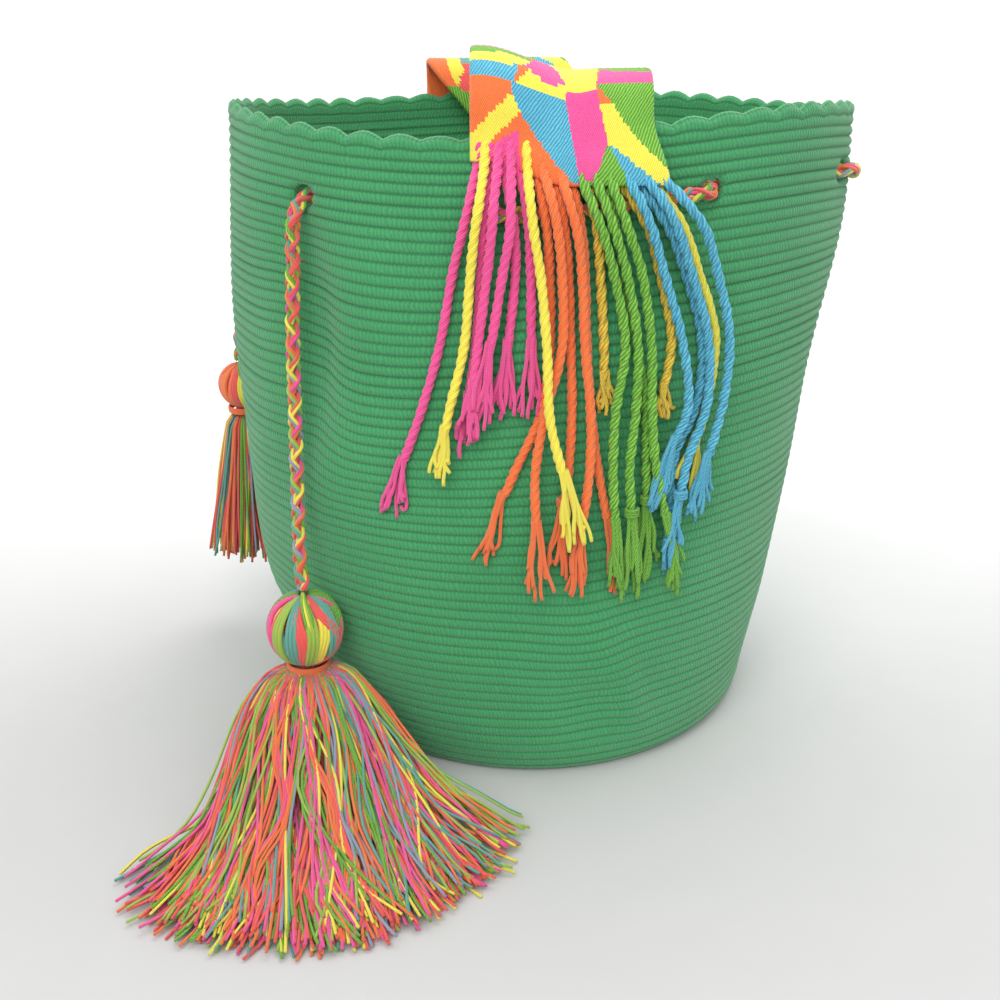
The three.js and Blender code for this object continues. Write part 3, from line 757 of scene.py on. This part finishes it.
STRAP_FAR_FIELDS = [          # the far end's fields: across, and distance from that end
    ("orange", [(-40, 24), (-25, 24), (-32, 50), (-40, 50)]),
    ("yellow", [(-25, 24), (-19, 24), (-22, 42), (-32, 50)]),
    ("teal", [(-19, 24), (12, 24), (12, 38), (-21, 38)]),
    ("coral", [(-21, 38), (12, 38), (12, 52), (-32, 52)]),
    ("green", [(-40, 50), (12, 50), (12, 90), (-40, 90)]),
]
RIGHT_LEANING = (0, 1, 2, 5, 8)    # the fields of STRAP_FIELDS whose ribs lean to the right
LEAN = 0.28                   # how far a rib moves across for each step along
RIB_WIDTH = 2.6
FLARE, OFF_WALL, DROP, PINCH = 7.0, 6.5, 9.0, 2.0    # how far the fringe pulls the near end


def in_polygon(x, y, corners):
    """Whether points are inside a polygon, by counting crossings."""
    inside = np.zeros(np.shape(x), bool)
    previous = corners[-1]
    for corner in corners:
        (xa, ya), (xb, yb) = previous, corner
        if ya != yb:
            crosses = ((ya > y) != (yb > y)) & (x < (xb - xa) * (y - ya) / (yb - ya) + xa)
            inside ^= crosses
        previous = corner
    return inside


def strap_colour(across, along, length):
    """Yarn number of the strap's colour field at a place on the band."""
    first = np.full(np.shape(across), -1)
    for place, fields in ((length - along, STRAP_FAR_FIELDS),
                          (np.mod(along, STRAP_REPEAT), STRAP_FIELDS + STRAP_TOP_FIELDS)):
        for key, corners in fields:
            hit = in_polygon(across, place, corners) & (first < 0)
            first[hit] = YARN_NUMBER[key]
    first[first < 0] = YARN_NUMBER["orange"]
    return first


def rib_lean(across, along):
    """Which way the cords of a field lean: out towards the right or the left edge."""
    folded = np.mod(along, STRAP_REPEAT)
    right = np.zeros(np.shape(across), bool)
    for number in RIGHT_LEANING:
        right |= in_polygon(across, folded, STRAP_FIELDS[number][1])
    return np.where(right, -LEAN, LEAN)


def strap_place(across, share, depth, centre, direction):
    """Points on the band: across its width, share of the way along it, depth off its middle."""
    y, z = centre[:, 1], centre[:, 2]
    crossing = smooth_step(share, *STRAP_SHIFT)
    middle_x = STRAP_NEAR_X + (STRAP_FAR_X - STRAP_NEAR_X) * crossing
    side = np.where(y < 0, -1, 1)
    height = np.minimum(z, RIM_MEAN)
    x = middle_x[:, None] + across[None]
    bow = (wall_y(x, np.broadcast_to(height[:, None], x.shape), 0, side[:, None])
           - wall_y(middle_x, height, 0, side)[:, None])
    # Its front end flares to the right where the fringe pulls it.
    flare = FLARE * (1 - smooth_step(share, 0.0, 0.03))
    x = x + flare[:, None] * smooth_step(across, 4, 38)[None]
    against = smooth_step(np.abs(y), 45, 80)
    normal_y, normal_z = -direction[:, 2], direction[:, 1]
    depth = np.broadcast_to(depth, x.shape)
    # Over the front rim the band is twisted a little: its right side drops sooner.
    beyond = 1 - smooth_step(share, 0.06, 0.12)
    off_wall = OFF_WALL * (1 - smooth_step(share, 0.0, 0.035))
    off_wall = off_wall[:, None] * smooth_step(across, -24, 4)[None]
    drop = DROP * beyond[:, None] * smooth_step(across, -34, 4)[None]
    pinch = PINCH * np.exp(-(((across - 6) / 7) ** 2))[None]
    pinch = pinch * np.exp(-(((share - 0.045) / 0.014) ** 2))[:, None]
    return np.stack([x, y[:, None] + depth * normal_y[:, None] + against[:, None] * bow - off_wall,
                     z[:, None] + depth * normal_z[:, None] - drop - pinch], -1)


def strap_band():
    route = smooth_path([(0, y, z) for y, z in STRAP_ROUTE], 0.8)
    run = run_along(route)
    length = run[-1]
    fine_end, fine_start = 130.0, length - 90.0
    along = np.concatenate([np.arange(0, fine_end, 1.05),
                            np.arange(fine_end, fine_start, 4.5),
                            np.arange(fine_start, length, 1.3), [length]])
    centre = points_at(route, run, along)
    direction = (points_at(route, run, np.minimum(along + 1, length))
                 - points_at(route, run, np.maximum(along - 1, 0)))
    direction /= np.linalg.norm(direction, axis=1, keepdims=True)
    columns = 120
    across = np.linspace(-STRAP_WIDTH / 2, STRAP_WIDTH / 2, columns + 1)
    u, s = np.meshgrid(across, along)

    def relief(u, s):
        lean = rib_lean(u, s)
        rib = (u + lean * s) / RIB_WIDTH
        inside = rib - np.floor(rib)
        ridge = np.sqrt(np.clip(1 - (2 * inside - 1) ** 2, 0, 1))
        twist = np.sin(2 * np.pi * (s / 3.4 + np.sign(lean) * inside * 0.8))
        return 0.55 * ridge + 0.16 * ridge * twist

    edge = 1 - np.clip((np.abs(u) - (STRAP_WIDTH / 2 - 1.6)) / 1.6, 0, 1) ** 2
    half = STRAP_THICKNESS / 2 * (0.35 + 0.65 * edge)
    wave = 0.25 * np.sin(s / 9.0) * np.sin(u / 11.0)
    share = along / length
    outer = strap_place(across, share, -(half - 0.25 + relief(u, s)) + wave, centre, direction)
    inner = strap_place(across, share, half - 0.25 + 0.6 * relief(u + 3, s) + wave, centre,
                        direction)
    points = np.concatenate([outer.reshape(-1, 3), inner.reshape(-1, 3)])
    rows, width = len(along), columns + 1
    i = np.arange(rows - 1)[:, None] * width
    j = np.arange(columns)[None]
    front = np.stack([i + j, i + width + j, i + width + j + 1, i + j + 1], -1).reshape(-1, 4)
    back = (front + rows * width)[:, ::-1]
    base = rows * width
    k = np.arange(rows - 1) * width
    left = np.stack([k, k + base, k + width + base, k + width], -1)
    right = np.stack([k + columns, k + columns + width, k + columns + width + base,
                      k + columns + base], -1)
    m = np.arange(columns)
    top = (rows - 1) * width
    near_end = np.stack([m, m + 1, m + 1 + base, m + base], -1)
    far_end = np.stack([top + m + 1, top + m, top + m + base, top + m + 1 + base], -1)
    quads = np.concatenate([front, back, left, right, near_end, far_end])
    place = np.concatenate([np.stack([u, s], -1).reshape(-1, 2)] * 2)
    middle = place[quads].mean(1)
    stitched = middle.copy()
    stitched[:, 1] = np.round(middle[:, 1] / 1.7) * 1.7
    colours = strap_colour(stitched[:, 0], stitched[:, 1], length)
    uv = np.concatenate([np.stack([u / RIB_WIDTH / 3, s], -1).reshape(-1, 2)] * 2)
    piece = make_piece("woven_strap", points, quads, YARN_LIST, colours, uv)
    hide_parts("strap_band")
    return piece, length


# ---------------------------------------------------------------- fringe


def plied_cord(name, path, diameter, yarn, plies=3, pitch=15.0, sides=18, flat=1.0):
    """A cord of plies laid up in a spiral: its section is lobed and turns along the cord."""
    run = run_along(path)
    ply = diameter / 2 / (1 + 1 / math.sin(math.pi / plies))
    offset = ply / math.sin(math.pi / plies)
    turn = 2 * np.pi * np.arange(sides) / sides
    local = turn[None] - 2 * np.pi * run[:, None] / pitch
    sector = 2 * np.pi / plies
    local = local - sector * np.round(local / sector)
    radius = offset * np.cos(local) + np.sqrt(
        np.clip(ply**2 - (offset * np.sin(local)) ** 2, (0.12 * ply) ** 2, None))
    # Soft yarn swells and half fills the hollows between its plies.
    radius = radius * flat + (1 - flat) * 0.93 * diameter / 2
    radius = radius * (1 + 0.05 * np.sin(run / 3.1 + path[0, 0]))[:, None]
    tip = np.clip(np.minimum(run, run[-1] - run) / 1.5, 0.25, 1)[:, None]
    points, quads, tris, uv = tubes(path[None], (radius * tip)[None], sides)
    return make_piece(name, points, quads, [yarn], uv=uv, tris=tris)


def frayed_end(name, path, yarns, colour, lift, length=30.0, side=-1, tied=False):
    """The cord's yarns untwisted below its end, in clumps that splay a little along the wall,
    with turns of yarn round the cord's end where it is tied and a yarn looped back up."""
    end = path[-1]
    heading = path[-1] - path[-8]
    heading /= np.linalg.norm(heading)
    steps = 18
    t = np.linspace(0, 1, steps)
    clumps = rng.permutation(np.linspace(-1, 1, 4)) * FRAY_SPREAD + rng.normal(0, 0.8, 4)
    paths = []
    for n in range(yarns):
        share = (n + 0.5) / yarns * 2 - 1
        reach = length * rng.uniform(0.72, 1.15)
        fan = clumps[n * 4 // yarns] + rng.normal(0, 0.9)
        phase, wave = rng.uniform(0, 2 * np.pi), rng.uniform(0.5, 1.5)
        x = end[0] + heading[0] * reach * t * (1 - 0.35 * t) + fan * t**1.35
        x = x + wave * np.sin(phase + 7.5 * t) * t + 1.7 * share
        drop = reach * t * (0.97 - 0.004 * fan**2 * t)
        if n == yarns // 2:
            drop = 0.8 * reach * np.sin(np.pi * 0.62 * t)
            x = x + 2.6 * np.sin(np.pi * 0.9 * t)
        z = end[2] + 3.0 - drop
        off = lift + 1.1 * np.cos(n * 2.4) + rng.uniform(-0.4, 1.4) * t
        y = wall_y(x, z, np.maximum(off, 1.4), side)
        paths.append(np.stack([x, y, z], -1))
    bundle = Bundle(name, YARN_LIST)
    bundle.add(np.stack(paths), 0.9, 6, [YARN_NUMBER[colour]] * yarns)
    if tied:
        turns = np.linspace(0, 3, 42)
        ring = 2.7 * np.stack([np.cos(2 * np.pi * turns), np.sin(2 * np.pi * turns)], -1)
        knot = np.stack([end[0] + ring[:, 0], end[1] + ring[:, 1], end[2] + 1.3 * turns], -1)
        bundle.add(knot[None], 0.9, 6, [YARN_NUMBER[colour]])
    return bundle.finish()


FRAY_SPREAD = 4.0
FRAY_LENGTHS = {"pink": 27, "yellow": 27, "orange": 34, "green": 38, "blue": 32, "mustard": 18}
LEAD_IN = [(294, 0.42), (288.5, 0.2)]      # heights inside the weave, and how far to lean back
LEAD_LIFT = {"back": (2.6, 3.0), "front": (2.8, 4.6), "top": (3.4, 5.2)}
TIED = ["fringe_green_2", "fringe_green_3", "fringe_blue_3", "fringe_orange_3"]


def front_fringe():
    for name, (layer, low, xs) in FRONT_FRINGE.items():
        colour = name.split("_")[1]
        lifts = LAYER_LIFT[layer][:len(xs)]
        heights = [max(level, low) for level in FRINGE_LEVELS[:len(xs)]]
        lead = [(xs[0] - back * (xs[1] - xs[0]), z, lift)
                for (z, back), lift in zip(LEAD_IN, LEAD_LIFT[layer])]
        points = [(x, float(wall_y(x, z, lift, -1)), z)
                  for x, z, lift in lead + list(zip(xs, heights, lifts))]
        path = smooth_path(points, 1.0)
        glossy = colour in ("green", "blue", "mustard")
        piece = plied_cord(name + "_cord", path, FRINGE_DIAMETER + 0.6, YARNS[colour],
                           pitch=22.0 if glossy else 15.0, flat=1.0 if glossy else 0.55)
        # The cord on top and the shortest ones have come untwisted the furthest.
        loose = 1.3 if layer == "top" or (colour == "pink" and low > 200) else 1
        fray = frayed_end(name + "_fray", path, 12, colour, lifts[-1],
                          length=FRAY_LENGTHS[colour] * loose, tied=name in TIED)
        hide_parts(name)


def far_fringe():
    colours = ["pink", "yellow", "orange", "green", "blue"]
    spacing = STRAP_WIDTH / FAR_FRINGE_PAIRS
    pieces = []
    for pair in range(FAR_FRINGE_PAIRS):
        for layer in ("back", "front"):
            shift = 0.28 if layer == "back" else 0.72
            offset = (pair + shift) * spacing - STRAP_WIDTH / 2
            low = 158 + 22 * math.sin(2.1 * pair + (0 if layer == "back" else 1.3))
            lifts = [2.4, 2.6, 2.6, 2.6] if layer == "back" else [6.1, 7.1, 7.1, 7.1]
            points = []
            for i, (z, lift) in enumerate(zip([283, 262, 215, low], lifts)):
                x = STRAP_FAR_X + offset * (1 + 0.04 * i)
                points.append((x, float(wall_y(x, z, lift, 1)), z))
            path = smooth_path(points, 1.5)
            colour = colours[pair // 2]
            node = f"far_fringe_{layer}_{pair + 1}"
            piece = plied_cord(node + "_cord", path, FRINGE_DIAMETER, YARNS[colour], sides=12)
            fray = frayed_end(node + "_fray", path, 5, colour, lifts[-1], side=1)
            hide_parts(node)
            pieces.append((piece, fray, path))
    return pieces


# ---------------------------------------------------------------- drawstring


def drawstring_route():
    """The same route as the model's: tail, in and out through the eyelets, tail."""
    points = [np.array(p, float) for p in reversed(TAIL_1)]
    last = len(EYELET_ANGLES) - 1
    for i, degrees in enumerate(EYELET_ANGLES):
        angle = math.radians(degrees)
        z = float(eyelet_height(angle))
        _, _, half_width, half_depth = section_at(z)
        arc = math.hypot(half_width * math.sin(angle), half_depth * math.cos(angle))
        reach = THREADING_RUN / arc
        goes_in = i % 2 == 0
        if i > 0:
            points.append(wall_point(angle - reach, z, OUTSIDE_LIFT if goes_in else INSIDE_LIFT))
        points.append(wall_point(angle, z, -WALL_THICKNESS / 2))
        if i < last:
            lift = INSIDE_LIFT if goes_in else OUTSIDE_LIFT
            points.append(wall_point(angle + reach, z, lift))
            following = math.radians(EYELET_ANGLES[i + 1])
            pieces = max(3, round((EYELET_ANGLES[i + 1] - degrees) / 7))
            for k in range(1, pieces):
                between = angle + (following - angle) * k / pieces
                points.append(wall_point(between, float(eyelet_height(between)), lift))
    points += [np.array(p, float) for p in TAIL_2]
    return np.array(points)


BRAID_YARNS = [("coral", "coral", "yellow"), ("orange", "teal", "lime"),
               ("pink", "orange", "coral"), ("slate", "yellow", "green")]


def braided_drawstring():
    path = smooth_path(drawstring_route(), 1.1)
    run = run_along(path)
    _, side, up = (a[0] for a in frames_along(path[None]))
    strands = []
    yarns = []
    radius = DRAWSTRING_DIAMETER / 2
    pitch, twist_pitch = 21.0, 19.0    # of the strands round the braid, and of a strand's yarns
    yarn_radius, yarn_offset = 0.95, 0.72
    weave = 0.42                       # how far a strand moves in and out where it crosses another
    for strand in range(4):
        clockwise = 1 if strand % 2 == 0 else -1
        start = math.pi * (strand // 2) + (0.5 * math.pi if clockwise < 0 else 0)
        phase = 2 * np.pi * run / pitch
        turn = clockwise * phase + start
        reach = radius - 0.9 + weave * clockwise * np.sin(2 * phase)
        middle = path + reach[:, None] * (np.cos(turn)[:, None] * side + np.sin(turn)[:, None] * up)
        for yarn in range(3):
            spin = 2 * np.pi * (clockwise * run / twist_pitch + yarn / 3)
            round_strand = np.cos(spin)[:, None] * side + np.sin(spin)[:, None] * up
            strands.append(middle + yarn_offset * round_strand)
            yarns.append(YARN_NUMBER[BRAID_YARNS[strand][yarn]])
    bundle = Bundle("braided_drawstring", YARN_LIST)
    bundle.add(np.stack(strands), yarn_radius, 5, yarns)
    piece = bundle.finish()
    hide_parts("drawstring")
    return piece, path


# ---------------------------------------------------------------- tassels


def tassel_head(name, middle, radius, neck):
    """Yarns folded over the cord's end: broad bundles run down the ball and gather at the neck."""
    middle = np.array(middle, float)
    bundles, each, steps = 22, 3, 20
    piece = Bundle(name, YARN_LIST)
    polar = np.linspace(0.03, 0.9, steps) * np.pi
    for layer, size in ((0, radius - 2.4), (1, radius - 1.2)):
        colours = mixed_yarns(bundles)
        for number in range(bundles):
            start = 2 * np.pi * (number + 0.5 * layer) / bundles + rng.normal(0, 0.05)
            sway, curl = rng.normal(0, 0.16), rng.normal(0, 0.12)
            rise = rng.uniform(-0.3, 0.8)
            for yarn in range(each):
                aside = (yarn - (each - 1) / 2) * 2 * np.pi / bundles / each * 1.15
                turn = start + aside + sway * np.sin(polar) ** 2 + curl * np.sin(2.6 * polar + number)
                out = (size + rise * np.sin(polar) ** 2) * np.sin(polar) ** 0.85
                flat = np.where(polar > np.pi / 2, np.maximum(out, neck - 1.6), out)
                path = np.stack([flat * np.cos(turn), flat * np.sin(turn),
                                 (size + rise) * np.cos(polar)], -1)
                thick = np.clip(0.5 + 0.75 * np.sin(polar), 0.6, 1.25)
                piece.add((middle + path)[None], thick[None, :, None], 6, [colours[number]])
    # The cord's own end lies over the ball's front before it goes in under the bundles.
    drape = np.linspace(0.0, 0.42, 10) * np.pi
    for yarn, key in enumerate(("green", "yellow", "lime", "green")):
        turn = np.radians(-86) + (yarn - 1.5) * 0.07 + 0.3 * (drape / 1.3)
        size = radius + 1.0 - 1.8 * smooth_step(drape, 0.7, 1.3)
        path = np.stack([size * np.sin(drape) * np.cos(turn), size * np.sin(drape) * np.sin(turn),
                         size * np.cos(drape)], -1)
        piece.add((middle + path)[None], 0.9, 6, [YARN_NUMBER[key]])
    # A plain ball of yarn under the strands, so that nothing shows through.
    height = np.linspace(-0.96, 0.96, 13)
    core = np.stack([0 * height, 0 * height, height], -1) * (radius - 3.4)
    thick = np.sqrt(np.clip(1 - height**2, 0.03, 1)) * (radius - 3.4)
    core, thick = np.vstack([core[0] - [0, 0, 7.0], core]), np.append(neck - 2.0, thick)
    piece.add((middle + core)[None], thick[None, :, None], 24, [YARN_NUMBER["coral"]])
    return piece


def neck_tie(name, middle, radius, neck):
    """Three turns of orange yarn round the neck."""
    turns = 3
    t = np.linspace(0, turns, 40 * turns)
    level = middle[2] - radius - 0.9
    x = middle[0] + (neck + 0.5) * np.cos(2 * np.pi * t)
    y = middle[1] + (neck + 0.5) * np.sin(2 * np.pi * t)
    z = level - 1.0 * (t - turns / 2)
    bundle = Bundle(name, YARN_LIST)
    bundle.add(np.stack([x, y, z], -1)[None], 0.75, 8, [YARN_NUMBER["orange"]])
    return bundle.finish()


def spread_skirt(bundle, middle, radius, neck, lean, fan, strand, count):
    """Strands that puff out from the neck and fan out over the surface the bag stands on."""
    steps = 21
    t = np.linspace(0, 1, steps)
    # Strands lie in small locks that share a colour and a way.
    locks = count // 4
    lock = rng.integers(0, locks, count)
    w = rng.uniform(-1, 1, locks)[lock] + rng.normal(0, 0.03, count)
    heading = np.radians(lean + fan * np.clip(w, -1.06, 1.06))
    drift = rng.normal(0, 0.10, locks)[lock] + rng.normal(0, 0.05, count)
    layer = np.clip(rng.uniform(0, 1, locks)[lock] ** 0.7 + rng.normal(0, 0.08, count), 0, 1)
    reach = strand * rng.uniform(0.84, 1.0, count) * (1 - 0.12 * np.clip(w, -1, 1) ** 2)
    r = reach[:, None] * t[None] ** 1.1
    # Near the neck the strands puff out to the sides, and further on they swing forward.
    puff = np.radians(62) * np.clip(w, -1, 1)[:, None] * np.exp(-((r / 34) ** 1.5))
    turn = heading[:, None] + puff + drift[:, None] * t[None] ** 1.5
    crown = middle[2] - radius - 3.0
    outline = np.interp(r, [0, 6, 19, 37, 55, 80, 110, 145], [49, 53, 51, 42, 32, 18, 8, 3])
    outline = outline * crown / 52
    settle = smooth_step(r, 6, 60)
    z = outline * (1 - settle * (1 - layer[:, None]) * 0.85)
    start_turn = heading + rng.normal(0, 1.1, count)
    start_r = (neck - 1.0) * np.sqrt(rng.uniform(0.2, 1, count))
    fade = np.exp(-r / 14)
    x = r * np.cos(turn) + fade * start_r[:, None] * np.cos(start_turn)[:, None]
    y = r * np.sin(turn) + fade * start_r[:, None] * np.sin(start_turn)[:, None]
    phase = (rng.uniform(0, 2 * np.pi, locks)[lock] + rng.normal(0, 0.4, count))[:, None]
    swing = rng.uniform(0.8, 4.6, locks)[lock][:, None]
    length = rng.uniform(8, 22, locks)[lock][:, None]
    wave = swing * np.sin(phase + r / length) * smooth_step(t, 0, 0.4)[None]
    x = x - wave * np.sin(turn)
    y = y + wave * np.cos(turn)
    z = z + 1.1 * np.sin(r / 9 + 2 * phase) * t[None] * layer[:, None]
    z = np.maximum(z, 0.75 + 3.5 * layer[:, None] * rng.uniform(0.2, 1, count)[:, None])
    paths = np.stack([middle[0] + x, middle[1] + y, z], -1)
    colours = np.array(mixed_yarns(locks))[lock]
    stray = rng.uniform(0, 1, count) < 0.35
    colours[stray] = mixed_yarns(int(stray.sum()))
    bundle.add(paths, 0.72, 4, colours)


def hanging_skirt(bundle, middle, radius, neck, drop, flare, sway, count):
    """Strands that hang free from the neck and open a little towards their ends."""
    top = middle[2] - radius - 4.5
    t = np.linspace(0, 1, 16)
    turn = rng.uniform(0, 2 * np.pi, count)
    share = np.sqrt(rng.uniform(0.03, 1, count))
    spread = np.interp(t, [0, 0.07, 0.3, 0.75, 1],
                       [neck - 1, neck + 3.0, neck + 6, flare - 6, flare - 3])
    r = share[:, None] * spread[None]
    reach = drop * rng.uniform(0.88, 1.0, count)
    turn = turn[:, None] + rng.normal(0, 0.2, count)[:, None] * t[None]
    wave = rng.uniform(0.2, 1.4, count)[:, None] * np.sin(
        rng.uniform(0, 6.28, count)[:, None] + 7 * t[None]) * t[None]
    x = middle[0] - sway * t[None] + (r + wave) * np.cos(turn)
    y = middle[1] + (r + wave) * np.sin(turn)
    z = top - reach[:, None] * t[None]
    bundle.add(np.stack([x, y, z], -1), 0.7, 5, mixed_yarns(count))


def make_tassels():
    pieces = []
    for name, shape in TASSELS.items():
        middle, radius, neck = shape["middle"], shape["radius"], shape["neck"]
        bundle = tassel_head(name + "_yarns", middle, radius, neck)
        if name == "tassel_1":
            spread_skirt(bundle, middle, radius, neck, lean=-78, fan=40, strand=137, count=900)
        else:
            hanging_skirt(bundle, middle, radius, neck, drop=84, flare=25.5, sway=5, count=260)
        piece = bundle.finish()
        tie = neck_tie(name + "_neck_tie", middle, radius, neck)
        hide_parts(name)
        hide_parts(name + "_tie")
        pieces += [piece, tie]
    return pieces


# ---------------------------------------------------------------- build

drawstring, drawstring_path = braided_drawstring()
front_fringe()
far_cords = far_fringe()
bag_body()
strap, strap_length = strap_band()
make_tassels()

# ---------------------------------------------------------------- surroundings


def make_floor():
    """A board that lies flat under the bag and curves up behind it."""
    half, back, bend, top = 4.0, 1.2, 0.8, 3.5
    turn = np.linspace(0, np.pi / 2, 13)
    profile = [(-half, 0.0)] + list(zip(back + bend * np.sin(turn), bend - bend * np.cos(turn)))
    profile.append((back + bend, top))
    points = [(x, y, z) for y, z in profile for x in (-half, half)]
    faces = [(2 * n, 2 * n + 1, 2 * n + 3, 2 * n + 2) for n in range(len(profile) - 1)]
    mesh = bpy.data.meshes.new("floor")
    mesh.from_pydata(points, [], faces)
    mesh.polygons.foreach_set("use_smooth", np.ones(len(faces), bool))
    mesh.materials.append(floor_material())
    piece = bpy.data.objects.new("floor", mesh)
    bpy.context.collection.objects.link(piece)


def make_world():
    world = bpy.data.worlds.new("room_light")
    world.use_nodes = True
    world.node_tree.nodes["Background"].inputs[0].default_value = (1.0, 1.0, 1.0, 1)
    world.node_tree.nodes["Background"].inputs[1].default_value = 0.9
    bpy.context.scene.world = world


make_floor()
make_world()
area_light("window", (-0.3, -1.1, 1.2), (0, 0, 0.15), 1.2, 11, (1.0, 0.99, 0.97))
area_light("ceiling", (0.3, 0.4, 1.6), (0, 0, 0.2), 1.4, 14, (1.0, 1.0, 1.0))
bpy.context.scene.view_settings.view_transform = "Standard"
